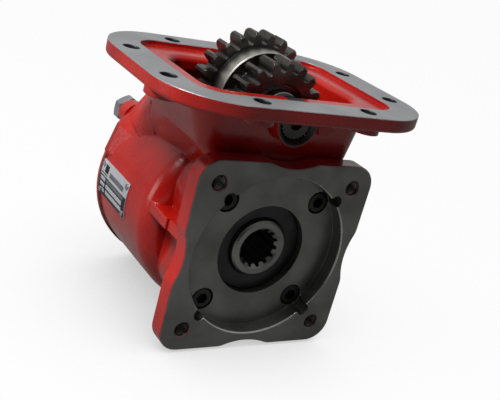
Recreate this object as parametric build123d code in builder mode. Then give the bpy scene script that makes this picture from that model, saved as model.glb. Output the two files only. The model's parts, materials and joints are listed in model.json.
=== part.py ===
from build123d import *
import os
from math import acos, atan2, cos, degrees, hypot, pi, radians, sin, sqrt, tan

# Power take off unit. Origin: centre of the eight-bolt pattern on the machined mounting face.
# +Z is that face's outward normal, the shafts lie along Y and the pump flange looks towards -Y.
# All sizes are in millimetres.

os.makedirs("parts", exist_ok=True)

# Gears
module = 3.75
pressure_angle = radians(20)
front_teeth = 17
back_teeth = 22
output_teeth = 33
output_shift = 0.5 * module
backlash = 0.12
root_round = 1.5
tip_chamfer = 1.6
front_tooth_angle = 88.5
back_tooth_angle = 83.6

# Shaft lines
idler_x = -1.5
idler_z = -17.405
output_x = 9.3
shaft_centres = module * (back_teeth + output_teeth) / 2 + output_shift
output_z = idler_z - sqrt(shaft_centres**2 - (output_x - idler_x) ** 2)

# Mounting plate
plate_length = 213.0
plate_width = 163.0
plate_thick = 10.0
plate_corner = 50.0
plate_round = 2.5
bolt_hole_r = 5.75
side_hole_x = 92.87
side_hole_y = 30.96
end_hole_x = 43.66
end_hole_y = 68.26
hole_boss_r = 11.0
hole_boss_drop = 3.5
ledge_half_x = 80.5
ledge_half_y = 59.5
ledge_corner = 20.0
ledge_depth = 3.3
window_edge_round = 4.5

# Neck, as outlines (front left, back left, right, front, back) at three heights
neck_top = (-74.0, -74.0, 74.0, -46.0, 46.0)
neck_top_corner = 23.0
neck_shoulder_z = -47.0
neck_shoulder = (-57.0, -57.0, 68.0, -35.6, 65.0)
neck_shoulder_left_corner = 15.0
neck_foot_z = -74.0
neck_foot = (-33.0, -48.5, 59.5, -35.6, 79.0)
neck_foot_corner = 9.0
neck_floor_z = -62.5
window_box = (-64.0, 62.0, -37.0, 37.0)
window_corner = 16.0
window_depth = 13.0
cavity_floor_z = -57.5
cavity_box = (-46.0, 58.0, -31.5, 62.0)
throat_box = (-38.0, 52.0, 66.0)
throat_z = -88.0
throat_corner = 9.0

# Barrel, nose and ribs
barrel_r = 75.0
barrel_front = 2.0
barrel_back = 95.2
barrel_round = 16.0
rim_r = 76.5
barrel_bore_r = 69.0
barrel_bore_front = 6.5
barrel_bore_corner = 3.5
barrel_lip_r = 67.9
barrel_lip_width = 14.0
nose_half = 58.0
nose_corner = 30.0
nose_front = -19.0
nose_blend = 12.0
rib_z = -111.0
rib_thick = 8.0
rib_half_span = 71.8
rib_back = 20.0
rib_setback = 1.5

# Rear shoulder above the barrel, as points from the output axis, shrinking towards the front
shoulder_left = [(-73.6, 14.5), (-75.0, 20.0), (-68.8, 43.0), (-56.6, 58.3), (-45.3, 75.4)]
shoulder_right = [(44.7, 75.4), (52.7, 61.8), (68.7, 39.8), (75.0, 20.0), (73.6, 14.5)]
shoulder_corner = 4.0
shoulder_front = 60.0
shoulder_front_scale = 0.86

# Web between the neck and the rear shoulder, as corners (x, z) at three depths
web_front = 56.0
web_front_corners = [(-57.0, -45.0), (-46.5, -74.0), (59.5, -74.0), (67.0, -45.0)]
web_middle = 71.0
web_middle_corners = [(-49.1, -45.6), (-53.0, -79.0), (60.0, -70.0), (61.0, -45.6)]
web_back_corners = [(-36.5, -46.6), (-53.0, -72.0), (61.0, -60.0), (53.0, -46.6)]

# Idler
front_gear_front = -29.0
front_gear_back = -9.0
relief_back = -5.5
relief_r = 26.0
hub_r = 35.0
back_gear_front = 8.0
back_gear_back = 24.0
idler_bore_r = 19.0
idler_bore_chamfer = 1.0
idler_shoulder_r = 17.6
roller_r = 1.25
roller_circle_r = 15.7
roller_count = 36
roller_length = 17.0
bearing_width = 20.0
running_gap = 0.05
idler_shaft_r = 12.5
idler_shaft_front = -53.5
idler_shaft_back = 50.0
front_boss_face = -56.0
front_boss_r = 16.4
wall_boss_r = 14.0
boss_chamfer_r = 15.1
wall_boss_front = -31.5
back_boss_front = 27.0
back_boss_face = 56.0
side_boss_x = 30.0
side_boss_z = -21.0
side_boss_r = 7.0
side_boss_face = -47.0
snap_ring_width = 1.5
snap_ring_inner_r = 17.5
snap_ring_outer_r = 19.6
snap_ring_inset = 2.0
shaft_notch_count = 24
shaft_notch_r = 1.0
shaft_notch_depth = 3.0
shaft_centre_r = 5.0
shaft_centre_depth = 4.0
plug_thick = 2.0
plug_inset = 5.0
plug_mouth = 0.5

# Pump flange
flange_face = -51.35
flange_back = -36.0
flange_half = 74.5
flange_corner = 17.0
flange_waist = 70.3
waist_r = 52.0
waist_blend = 16.0
pump_hole_offset = 57.24
pump_hole_r = 5.36
pump_hole_mouth_r = 6.5
pilot_r = 63.5
pilot_depth = 12.0
pilot_mouth_r = 64.45
notch_r = 5.0
notch_circle_r = 64.5
screw_offset = 39.5
screw_r = 5.0
screw_head_r = 8.0
screw_head_height = 10.0
screw_key_flats = 8.0
screw_key_depth = 5.0
screw_length = 25.0
counterbore_r = 9.0
screw_hole_r = 5.5
screw_hole_spare = 2.0
screw_head_gap = 0.3
gasket_thick = 0.5
gasket_setback = 0.3
spigot_length = 3.9

# Output shaft, its seal and bearings
sleeve_end = -37.35
sleeve_r = 22.5
sleeve_chamfer = 1.5
spline_teeth = 14
spline_outer_r = 15.9
spline_inner_r = 14.0
spline_length = 45.0
spline_root_half = 7.2
spline_tip_half = 4.4
spline_entry_r = 17.0
seal_front = -33.0
seal_width = 10.0
seal_r = 36.0
seal_wall = 2.5
front_bearing_back = 4.0
front_bearing_width = 19.0
front_bearing_r = 42.5
front_ball_r = 6.0
front_ball_count = 10
shoulder_r = 38.0
journal_r = 22.0
journal_back = 36.0
journal_bore_r = 25.0
journal_roller_count = 40
washer_r = 30.0
front_washer_thick = 3.0
rear_washer_thick = 1.5
end_play = 0.15
dog_teeth = 24
dog_tip_r = 34.0
dog_root_r = 31.0
dog_tip_half = 2.9
dog_root_half = 4.4
dog_clearance = 0.3
gear_hub_back = 34.2
gear_rim_inner_r = 52.0
gear_recess_inner_r = 37.0
gear_recess = 4.0
clutch_hub_back = 52.0
spacer_r = 24.0
rear_seat_r = 20.0
rear_bearing_front = 71.0
rear_bearing_width = 18.0
rear_bearing_r = 40.0
rear_ball_r = 5.5
rear_ball_count = 10
shaft_back = 92.0
shaft_ring_width = 1.4
shaft_ring_r = 23.5
shaft_groove_r = 18.6

# Rear cover
cover_gasket_thick = 0.4
cover_back = 99.4
cover_edge = 0.8
cover_spigot = 4.0
bearing_wall = 7.0
cover_recess_r = 30.0
cover_recess = 5.0
cover_screw_r = 2.5
cover_screw_circle_r = 71.2
cover_screw_count = 8
cover_screw_length = 20.0
cover_screw_flats = 8.0
cover_screw_head = 3.5
cover_screw_play = 0.25

# Shift cylinder
shift_x = -44.0
shift_z = -73.5
shift_travel = 9.0
shift_boss_r = 10.8
shift_boss_back = 111.0
guide_front = 91.0
guide_r = 6.2
cylinder_front = 96.0
cylinder_bore_r = 7.5
piston_back = 118.0
piston_length = 4.5
rod_r = 3.5
rod_nose_r = 2.5
rod_end = 1.0
cap_thread_r = 9.0
cap_thread_length = 5.0
cap_flats = 20.5
cap_back = 121.5
cap_edge = 1.5
cap_washer_thick = 0.8
air_port_r = 4.4
spring_r = 5.6
spring_wire_r = 0.6
spring_turns = 6
collar_front = 38.0
collar_back = 56.0
collar_r = 44.0
groove_r = 38.0
groove_width = 8.0
fork_play = 0.3
fork_outer_r = 46.5
fork_reach = 95.0
fork_arm_inner_r = 50.0
fork_arm_outer_r = 58.0
fork_arm_half = 5.8
fork_hub_front = 83.0
fork_hub_length = 6.0
fork_hub_r = 6.0
pocket_r = 6.4
clip_thick = 1.0
clip_r = 5.5
clip_groove = 0.7

# Nameplate
plate_mark_front = 42.0
plate_mark_length = 52.8
plate_mark_height = 28.5
plate_mark_thick = 0.8
plate_mark_z = -122.5
pin_r = 1.55
pin_head_r = 2.2
pin_head = 0.9
pin_depth = 4.0
pin_inset = 3.2
pin_seat_gap = 0.02


def across(y, x=0.0, z=0.0):
    """Drawing plane square to the shafts at depth y, its own x along X and its own y along Z."""
    return Plane(origin=(x, y, z), x_dir=(1, 0, 0), z_dir=(0, -1, 0))


def tilted(y, x, z, angle):
    """The same plane turned about the shaft line, its own x at the angle given in degrees."""
    return Plane(origin=(x, y, z), x_dir=(cos(radians(angle)), 0, sin(radians(angle))), z_dir=(0, -1, 0))


def disc(front, back, radius, x, z, mode=Mode.ADD):
    """Cylinder along the shaft direction between two depths."""
    with Locations(Location((x, (front + back) / 2, z), (90, 0, 0))):
        Cylinder(radius, back - front, mode=mode)


def turned(outline, x, z, mode=Mode.ADD):
    """Turn a closed outline of (depth, radius) points about the shaft line through (x, z)."""
    with BuildSketch(Plane(origin=(x, 0, z), x_dir=(0, 1, 0), z_dir=(1, 0, 0))) as profile:
        with BuildLine():
            Polyline(*outline, close=True)
        make_face()
    revolve(profile.sketch, axis=Axis((x, 0, z), (0, 1, 0)), mode=mode)


def ring(front, back, inner, outer, x, z, chamfer_size=0.4):
    """Ring with its outer corners broken."""
    c = chamfer_size
    corners = [(front, inner), (front, outer - c), (front + c, outer)]
    corners += [(back - c, outer), (back, outer - c), (back, inner)]
    turned(corners, x, z)


def at_angle(radius, angle):
    """Point on a circle, angle in degrees."""
    return (radius * cos(radians(angle)), radius * sin(radians(angle)))


def neck_outline(height, sides, left_corner, right_corner):
    """Level outline of the neck from its sides, with its own corner radius left and right."""
    front_left, back_left, right, front, back = sides
    with BuildSketch(Plane.XY.offset(height)) as outline:
        with BuildLine():
            Polyline(
                (front_left, front),
                (right, front),
                (right, back),
                (back_left, back),
                close=True,
            )
        make_face()
        fillet(outline.vertices().sort_by(Axis.X)[-2:], right_corner)
        fillet(outline.vertices().sort_by(Axis.X)[:2], left_corner)
    return outline.sketch


def shoulder_outline(depth, scale):
    """Outline of the rear shoulder at one depth, scaled about the output axis."""
    points = [(scale * x, scale * z) for x, z in shoulder_left + shoulder_right]
    top = max(z for x, z in points)
    with BuildSketch(across(depth, output_x, output_z)) as outline:
        with BuildLine():
            Polyline(*points, close=True)
        make_face()
        corners = outline.vertices().filter_by(lambda v: abs(v.Y - top) < 0.01)
        fillet(corners, scale * shoulder_corner)
    return outline.sketch


def web_section(depth, corners):
    """Section of the web between the neck and the rear shoulder."""
    with BuildSketch(across(depth)) as outline:
        with BuildLine():
            Polyline(*corners, close=True)
        make_face()
    return outline.sketch


def box_outline(box, corner):
    """Rounded rectangle from its left, right, front and back sides."""
    left, right, front, back = box
    with Locations(((left + right) / 2, (front + back) / 2)):
        RectangleRounded(right - left, back - front, corner)


def gear_sketch(plane, teeth, first_angle, shift=0):
    """Involute gear outline with a tooth at first_angle, rounded roots and a profile shift."""
    pitch_r = module * teeth / 2
    tip_r = pitch_r + module + shift
    root_r = pitch_r - 1.25 * module + shift
    base_r = pitch_r * cos(pressure_angle)
    foot_r = root_r + root_round
    involute_at_pitch = tan(pressure_angle) - pressure_angle
    thicker = shift * tan(pressure_angle) - backlash
    base_half = pi / (2 * teeth) + thicker / pitch_r + involute_at_pitch
    start_r = max(foot_r, base_r)
    steps = 4
    flank = [(foot_r, base_half)] if foot_r < base_r - 0.05 else []
    for i in range(steps + 1):
        radius = start_r + (tip_r - start_r) * i / steps
        roll = acos(min(1.0, base_r / radius))
        flank.append((radius, base_half - (tan(roll) - roll)))
    tooth_pitch = 360 / teeth
    foot_half = degrees(flank[0][1])
    with BuildSketch(plane) as outline:
        with BuildLine():
            for k in range(teeth):
                middle = first_angle + k * tooth_pitch
                rising = [at_angle(radius, middle - degrees(a)) for radius, a in flank]
                falling = [at_angle(radius, middle + degrees(a)) for radius, a in reversed(flank)]
                Spline(*rising)
                ThreePointArc(rising[-1], at_angle(tip_r, middle), falling[0])
                Spline(*falling)
                valley = at_angle(root_r, middle + tooth_pitch / 2)
                next_foot = at_angle(foot_r, middle + tooth_pitch - foot_half)
                ThreePointArc(falling[-1], valley, next_foot)
        make_face()
    return outline.sketch


def tooth_ring(plane, teeth, root_r, tip_r, root_half, tip_half):
    """Outline of straight-sided teeth, half widths in degrees at the root and at the tip."""
    corners = []
    for k in range(teeth):
        middle = k * 360 / teeth
        corners.append(at_angle(root_r, middle - root_half))
        corners.append(at_angle(tip_r, middle - tip_half))
        corners.append(at_angle(tip_r, middle + tip_half))
        corners.append(at_angle(root_r, middle + root_half))
    with BuildSketch(plane) as outline:
        with BuildLine():
            Polyline(*corners, close=True)
        make_face()
    return outline.sketch


def finish(piece, name):
    """Label the piece and write its file."""
    piece.part.label = name
    export_step(piece.part, f"parts/{name}.step")


# The output gear has a gap where a tooth of the back idler gear points along the line of centres.
centre_line = degrees(atan2(output_z - idler_z, output_x - idler_x))
back_pitch = 360 / back_teeth
tooth_offset = (back_tooth_angle - centre_line + back_pitch / 2) % back_pitch - back_pitch / 2
gap_angle = centre_line + 180 - tooth_offset * back_teeth / output_teeth
output_tooth_angle = gap_angle + 180 / output_teeth
front_tip_r = module * (front_teeth + 2) / 2
back_tip_r = module * (back_teeth + 2) / 2
output_tip_r = module * (output_teeth + 2) / 2 + output_shift

# Places that follow from the sizes above
side_holes = [(sx * side_hole_x, sy * side_hole_y) for sx in (-1, 1) for sy in (-1, 1)]
end_holes = [(sx * end_hole_x, sy * end_hole_y) for sx in (-1, 1) for sy in (-1, 1)]
boss_holes = end_holes + [place for place in side_holes if place[0] > 0]
pilot_floor = flange_face + pilot_depth
flange_seat = nose_front - gasket_thick
screw_seat = pilot_floor + screw_head_height
seal_back = seal_front + seal_width
front_bearing_front = front_bearing_back - front_bearing_width
rear_bearing_back = rear_bearing_front + rear_bearing_width
cover_front = barrel_back + cover_gasket_thick
shift_dx = shift_x - output_x
shift_dz = shift_z - output_z
shift_angle = degrees(atan2(shift_dz, shift_dx))
shift_circle_r = hypot(shift_dx, shift_dz)
piston_front = piston_back - piston_length
fork_hub_back = fork_hub_front + fork_hub_length
rod_front = fork_hub_front - clip_thick - rod_end
pocket_front = rod_front - shift_travel - 0.5
groove_front = (collar_front + collar_back - groove_width) / 2
neck_front = neck_shoulder[3]
cover_screw_angles = [(k + 0.5) * 360 / cover_screw_count for k in range(cover_screw_count)]
cover_screw_places = [at_angle(cover_screw_circle_r, angle) for angle in cover_screw_angles]


# Housing casting
with BuildPart() as housing:
    with BuildSketch(Plane.XY.offset(-plate_thick)):
        RectangleRounded(plate_length, plate_width, plate_corner)
    extrude(amount=plate_thick)
    fillet(housing.faces().sort_by(Axis.Z)[0].edges(), plate_round)
    with BuildSketch(Plane.XY.offset(-plate_thick - hole_boss_drop)):
        with Locations(*boss_holes):
            Circle(hole_boss_r)
        with Locations((-side_hole_x, -side_hole_y)):
            Circle(plate_length / 2 - side_hole_x)
    extrude(amount=hole_boss_drop + plate_round)
    # Funnel-shaped neck
    top = neck_outline(plate_round - plate_thick, neck_top, neck_top_corner, neck_top_corner)
    shoulder = neck_outline(
        neck_shoulder_z, neck_shoulder, neck_shoulder_left_corner, neck_foot_corner
    )
    foot = neck_outline(neck_foot_z, neck_foot, neck_foot_corner, neck_foot_corner)
    loft([top, shoulder], ruled=True)
    loft([shoulder, foot], ruled=True)
    # The neck stops above the flange casting
    with Locations((0, nose_front, neck_floor_z)):
        Box(
            plate_length,
            plate_width,
            plate_width,
            align=(Align.CENTER, Align.MAX, Align.MAX),
            mode=Mode.SUBTRACT,
        )
    # Barrel with a rounded front
    with BuildSketch(Plane(origin=(output_x, 0, output_z), x_dir=(0, 1, 0), z_dir=(1, 0, 0))):
        with BuildLine():
            shoulder_start = (barrel_front, barrel_r - barrel_round)
            shoulder_end = (barrel_front + barrel_round, barrel_r)
            Line((barrel_front, 0), shoulder_start)
            RadiusArc(shoulder_start, shoulder_end, barrel_round)
            Line(shoulder_end, (barrel_back, barrel_r))
            Line((barrel_back, barrel_r), (barrel_back, 0))
            Line((barrel_back, 0), (barrel_front, 0))
        make_face()
    revolve(axis=Axis((output_x, 0, output_z), (0, 1, 0)))
    # Shoulder that flares out to the rear face
    loft(
        [
            shoulder_outline(shoulder_front, shoulder_front_scale),
            shoulder_outline(barrel_back, 1.0),
        ],
        ruled=True,
    )
    # Web from the neck to the shoulder, thick enough at the left for the shift rod's pocket
    loft(
        [
            web_section(web_front, web_front_corners),
            web_section(web_middle, web_middle_corners),
            web_section(barrel_back, web_back_corners),
        ],
        ruled=True,
    )
    # Nose and side ribs
    with BuildSketch(across(barrel_front + nose_blend, output_x, output_z)):
        RectangleRounded(2 * nose_half, 2 * nose_half, nose_corner)
    extrude(amount=barrel_front + nose_blend - nose_front)
    with BuildSketch(across(rib_back, output_x, rib_z)):
        Rectangle(2 * rib_half_span, rib_thick)
    extrude(amount=rib_back - nose_front)
    # Bosses of the idler shaft and the small one beside it
    disc(front_boss_face, wall_boss_front, front_boss_r, idler_x, idler_z)
    disc(side_boss_face, neck_front, side_boss_r, side_boss_x, side_boss_z)
    # Window, ledge and the space for the gears
    with BuildSketch():
        RectangleRounded(2 * ledge_half_x, 2 * ledge_half_y, ledge_corner)
    extrude(amount=-ledge_depth, mode=Mode.SUBTRACT)
    with BuildSketch(Plane.XY.offset(-ledge_depth)):
        box_outline(window_box, window_corner)
    extrude(amount=ledge_depth - window_depth, mode=Mode.SUBTRACT)
    rim_edges = housing.edges().filter_by_position(Axis.Z, -ledge_depth - 0.01, -ledge_depth + 0.01)
    rim_edges = rim_edges.filter_by_position(Axis.X, window_box[0] - 0.5, window_box[1] + 0.5)
    rim_edges = rim_edges.filter_by_position(Axis.Y, window_box[2] - 0.5, window_box[3] + 0.5)
    fillet(rim_edges, window_edge_round)
    with BuildSketch(Plane.XY.offset(-window_depth)):
        box_outline(window_box, window_corner)
    with BuildSketch(Plane.XY.offset(cavity_floor_z)):
        box_outline(cavity_box, window_corner)
    loft(ruled=True, mode=Mode.SUBTRACT)
    with BuildSketch(Plane.XY.offset(cavity_floor_z)):
        box_outline((throat_box[0], throat_box[1], barrel_bore_front, throat_box[2]), throat_corner)
    extrude(amount=throat_z - cavity_floor_z, mode=Mode.SUBTRACT)
    turned(
        [
            (barrel_bore_front, 0),
            (barrel_bore_front, barrel_bore_r - barrel_bore_corner),
            (barrel_bore_front + barrel_bore_corner, barrel_bore_r),
            (barrel_back - barrel_lip_width - barrel_bore_corner, barrel_bore_r),
            (barrel_back - barrel_lip_width, barrel_lip_r),
            (barrel_back, barrel_lip_r),
            (barrel_back, 0),
        ],
        output_x,
        output_z,
        Mode.SUBTRACT,
    )
    # Bosses that reach into the gear space, then their bores
    disc(neck_front, wall_boss_front, wall_boss_r, idler_x, idler_z)
    disc(back_boss_front, back_boss_face, front_boss_r, idler_x, idler_z)
    with BuildSketch():
        RectangleRounded(2 * ledge_half_x, 2 * ledge_half_y, ledge_corner)
    extrude(amount=-ledge_depth, mode=Mode.SUBTRACT)
    disc(front_boss_face, back_boss_face, idler_shaft_r, idler_x, idler_z, Mode.SUBTRACT)
    turned(
        [
            (front_boss_face, 0),
            (front_boss_face, boss_chamfer_r),
            (front_boss_face + boss_chamfer_r - idler_shaft_r, idler_shaft_r),
            (front_boss_face + boss_chamfer_r - idler_shaft_r, 0),
        ],
        idler_x,
        idler_z,
        Mode.SUBTRACT,
    )
    # Bearing bore, flange screws, cover screws
    disc(nose_front, front_bearing_back, front_bearing_r, output_x, output_z, Mode.SUBTRACT)
    disc(front_bearing_back, barrel_bore_front, shoulder_r, output_x, output_z, Mode.SUBTRACT)
    for sx in (-1, 1):
        for sz in (-1, 1):
            disc(
                nose_front,
                screw_seat + screw_length + screw_hole_spare,
                screw_r + running_gap,
                output_x + sx * screw_offset,
                output_z + sz * screw_offset,
                Mode.SUBTRACT,
            )
    for hole_x, hole_z in cover_screw_places:
        disc(
            cover_back - cover_screw_length - 1,
            barrel_back,
            cover_screw_r + running_gap,
            output_x + hole_x,
            output_z + hole_z,
            Mode.SUBTRACT,
        )
    # Pocket of the shift rod and fork, open to the barrel
    disc(pocket_front, barrel_back, pocket_r, shift_x, shift_z, Mode.SUBTRACT)
    with BuildSketch(tilted(barrel_back, output_x, output_z, shift_angle)):
        with Locations(((fork_arm_outer_r + shift_circle_r) / 2, 0)):
            Rectangle(shift_circle_r - fork_arm_outer_r, 2 * pocket_r)
    extrude(amount=barrel_back - pocket_front, mode=Mode.SUBTRACT)
    # Bolt holes of the plate
    with BuildSketch():
        with Locations(*side_holes, *end_holes):
            Circle(bolt_hole_r)
    extrude(amount=-plate_thick - hole_boss_drop, mode=Mode.SUBTRACT)
    # Holes of the nameplate pins
    plate_mark_angle = 180 - degrees((plate_mark_z - output_z) / barrel_r)
    half_angle = degrees(plate_mark_height / 2 / barrel_r)
    pin_angle = half_angle - degrees(pin_inset / barrel_r)
    pin_depths = (plate_mark_front + pin_inset, plate_mark_front + plate_mark_length - pin_inset)
    pin_planes = []
    for side in (-1, 1):
        for depth in pin_depths:
            out_x, out_z = at_angle(1, plate_mark_angle + side * pin_angle)
            seat = (output_x + barrel_r * out_x, depth, output_z + barrel_r * out_z)
            pin_planes.append(Plane(origin=seat, x_dir=(0, 1, 0), z_dir=(out_x, 0, out_z)))
    for plane in pin_planes:
        with Locations(plane.offset(-pin_depth / 2)):
            Cylinder(pin_r + running_gap, pin_depth + 1, mode=Mode.SUBTRACT)
finish(housing, "housing")


# Idler gear cluster
with BuildPart() as idler_gear:
    extrude(
        gear_sketch(across(front_gear_back, idler_x, idler_z), front_teeth, front_tooth_angle),
        amount=front_gear_back - front_gear_front,
    )
    extrude(
        gear_sketch(across(back_gear_back, idler_x, idler_z), back_teeth, back_tooth_angle),
        amount=back_gear_back - back_gear_front,
    )
    disc(front_gear_back, relief_back, relief_r, idler_x, idler_z)
    disc(relief_back, back_gear_front, hub_r, idler_x, idler_z)
    turned(
        [
            (front_gear_front, 0),
            (front_gear_front, front_tip_r - tip_chamfer),
            (front_gear_front + tip_chamfer, front_tip_r),
            (front_gear_back - tip_chamfer, front_tip_r),
            (front_gear_back, front_tip_r - tip_chamfer),
            (relief_back, hub_r - tip_chamfer / 2),
            (relief_back + tip_chamfer / 2, hub_r),
            (back_gear_front, hub_r),
            (back_gear_front, back_tip_r - tip_chamfer),
            (back_gear_front + tip_chamfer, back_tip_r),
            (back_gear_back - tip_chamfer, back_tip_r),
            (back_gear_back, back_tip_r - tip_chamfer),
            (back_gear_back, 0),
        ],
        idler_x,
        idler_z,
        Mode.INTERSECT,
    )
    first_ring = front_gear_front + snap_ring_inset
    first_bearing = first_ring + snap_ring_width
    second_bearing = back_gear_back - snap_ring_inset - snap_ring_width - bearing_width
    second_ring = second_bearing + bearing_width
    c = idler_bore_chamfer
    turned(
        [
            (front_gear_front, 0),
            (front_gear_front, idler_bore_r + c),
            (front_gear_front + c, idler_bore_r),
            (first_ring, idler_bore_r),
            (first_ring, snap_ring_outer_r),
            (first_bearing, snap_ring_outer_r),
            (first_bearing, idler_bore_r),
            (first_bearing + bearing_width, idler_bore_r),
            (first_bearing + bearing_width, idler_shoulder_r),
            (second_bearing, idler_shoulder_r),
            (second_bearing, idler_bore_r),
            (second_ring, idler_bore_r),
            (second_ring, snap_ring_outer_r),
            (second_ring + snap_ring_width, snap_ring_outer_r),
            (second_ring + snap_ring_width, idler_bore_r),
            (back_gear_back - c, idler_bore_r),
            (back_gear_back, idler_bore_r + c),
            (back_gear_back, 0),
        ],
        idler_x,
        idler_z,
        Mode.SUBTRACT,
    )
finish(idler_gear, "idler_gear")

race_r = roller_circle_r + roller_r + running_gap
sleeve_outer_r = roller_circle_r - roller_r - running_gap
with BuildPart() as idler_bearing_rings:
    for start in (first_bearing, second_bearing):
        turned(
            [
                (start, race_r),
                (start, idler_bore_r),
                (start + bearing_width, idler_bore_r),
                (start + bearing_width, race_r),
            ],
            idler_x,
            idler_z,
        )
finish(idler_bearing_rings, "idler_bearing_rings")

with BuildPart() as idler_needles:
    for start in (first_bearing, second_bearing):
        roller_back = start + (bearing_width + roller_length) / 2
        with BuildSketch(across(roller_back, idler_x, idler_z)):
            with PolarLocations(roller_circle_r, roller_count):
                Circle(roller_r)
        extrude(amount=roller_length)
finish(idler_needles, "idler_needles")

with BuildPart() as idler_snap_rings:
    for start in (first_ring, second_ring):
        with BuildSketch(across(start + snap_ring_width, idler_x, idler_z)):
            Circle(snap_ring_outer_r)
            Circle(snap_ring_inner_r, mode=Mode.SUBTRACT)
            with Locations((0, -snap_ring_outer_r)):
                Rectangle(snap_ring_inner_r / 2, snap_ring_inner_r / 2, mode=Mode.SUBTRACT)
        extrude(amount=snap_ring_width)
finish(idler_snap_rings, "idler_snap_rings")

with BuildPart() as idler_sleeve:
    ring(wall_boss_front, back_boss_front, idler_shaft_r, sleeve_outer_r, idler_x, idler_z)
finish(idler_sleeve, "idler_sleeve")

with BuildPart() as idler_shaft:
    turned(
        [
            (idler_shaft_front, 0),
            (idler_shaft_front, idler_shaft_r - 0.8),
            (idler_shaft_front + 0.8, idler_shaft_r),
            (idler_shaft_back, idler_shaft_r),
            (idler_shaft_back, 0),
        ],
        idler_x,
        idler_z,
    )
    with BuildSketch(across(idler_shaft_front + shaft_notch_depth, idler_x, idler_z)):
        with PolarLocations(idler_shaft_r - shaft_notch_r / 2, shaft_notch_count):
            Circle(shaft_notch_r)
    extrude(amount=shaft_notch_depth, mode=Mode.SUBTRACT)
    disc(
        idler_shaft_front,
        idler_shaft_front + shaft_centre_depth,
        shaft_centre_r,
        idler_x,
        idler_z,
        Mode.SUBTRACT,
    )
finish(idler_shaft, "idler_shaft")

with BuildPart() as shaft_plug:
    disc(back_boss_face - plug_inset, back_boss_face - plug_mouth, idler_shaft_r, idler_x, idler_z)
    disc(
        back_boss_face - plug_inset + plug_thick,
        back_boss_face - plug_mouth,
        idler_shaft_r - plug_thick,
        idler_x,
        idler_z,
        Mode.SUBTRACT,
    )
finish(shaft_plug, "shaft_plug")


# Pump flange casting
with BuildPart() as pump_flange:
    with BuildSketch(across(flange_back, output_x, output_z)) as square:
        RectangleRounded(2 * flange_half, 2 * flange_half, flange_corner)
        with PolarLocations(flange_waist + waist_r, 4):
            Circle(waist_r, mode=Mode.SUBTRACT)
        waist_ends = square.vertices().filter_by(
            lambda v: min(abs(abs(v.X) - flange_half), abs(abs(v.Y) - flange_half)) < 0.01
            and min(abs(v.X), abs(v.Y)) < flange_half - flange_corner - 5
        )
        fillet(waist_ends, waist_blend)
    extrude(amount=flange_back - flange_face)
    chamfer(pump_flange.faces().sort_by(Axis.Y)[0].edges(), 0.8)
    chamfer(pump_flange.faces().sort_by(Axis.Y)[-1].edges(), 1.5)
    with BuildSketch(across(flange_seat, output_x, output_z)):
        RectangleRounded(2 * nose_half, 2 * nose_half, nose_corner)
    extrude(amount=flange_seat - flange_back)
    with BuildSketch(across(flange_seat, output_x, rib_z)):
        Rectangle(2 * (rib_half_span - rib_setback), rib_thick)
    extrude(amount=flange_seat - flange_back)
    disc(flange_seat, flange_seat + spigot_length, front_bearing_r - running_gap, output_x, output_z)
    # Pilot recess with its notches
    turned(
        [
            (flange_face, 0),
            (flange_face, pilot_mouth_r),
            (flange_face + pilot_mouth_r - pilot_r, pilot_r),
            (pilot_floor, pilot_r),
            (pilot_floor, 0),
        ],
        output_x,
        output_z,
        Mode.SUBTRACT,
    )
    with BuildSketch(across(pilot_floor, output_x, output_z)):
        with PolarLocations(notch_circle_r, 4, start_angle=45):
            Circle(notch_r)
    extrude(amount=pilot_depth, mode=Mode.SUBTRACT)
    # Seal bore and shaft opening
    disc(pilot_floor, seal_back, seal_r, output_x, output_z, Mode.SUBTRACT)
    disc(seal_back, flange_seat + spigot_length, shoulder_r - 4, output_x, output_z, Mode.SUBTRACT)
    for sx in (-1, 1):
        for sz in (-1, 1):
            hole_x = output_x + sx * pump_hole_offset
            hole_z = output_z + sz * pump_hole_offset
            disc(flange_face, flange_back, pump_hole_r, hole_x, hole_z, Mode.SUBTRACT)
            turned(
                [
                    (flange_face, 0),
                    (flange_face, pump_hole_mouth_r),
                    (flange_face + pump_hole_mouth_r - pump_hole_r, pump_hole_r),
                    (flange_face + pump_hole_mouth_r - pump_hole_r, 0),
                ],
                hole_x,
                hole_z,
                Mode.SUBTRACT,
            )
            screw_x = output_x + sx * screw_offset
            screw_z = output_z + sz * screw_offset
            disc(pilot_floor, screw_seat, counterbore_r, screw_x, screw_z, Mode.SUBTRACT)
            disc(screw_seat, flange_seat, screw_hole_r, screw_x, screw_z, Mode.SUBTRACT)
finish(pump_flange, "pump_flange")

with BuildPart() as flange_gasket:
    with BuildSketch(across(nose_front, output_x, output_z)):
        gasket_half = nose_half - gasket_setback
        RectangleRounded(2 * gasket_half, 2 * gasket_half, nose_corner)
        Circle(front_bearing_r, mode=Mode.SUBTRACT)
        with GridLocations(2 * screw_offset, 2 * screw_offset, 2, 2):
            Circle(screw_hole_r, mode=Mode.SUBTRACT)
    extrude(amount=gasket_thick)
finish(flange_gasket, "flange_gasket")

with BuildPart() as flange_screws:
    for sx in (-1, 1):
        for sz in (-1, 1):
            screw_x = output_x + sx * screw_offset
            screw_z = output_z + sz * screw_offset
            head_front = screw_seat - screw_head_height + screw_head_gap
            ring(head_front, screw_seat, 0, screw_head_r, screw_x, screw_z, 0.6)
            disc(screw_seat, screw_seat + screw_length, screw_r, screw_x, screw_z)
            with BuildSketch(across(screw_seat - screw_head_height + screw_key_depth, screw_x, screw_z)):
                RegularPolygon(screw_key_flats / 2, 6, major_radius=False)
            extrude(amount=screw_key_depth, mode=Mode.SUBTRACT)
finish(flange_screws, "flange_screws")

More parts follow.
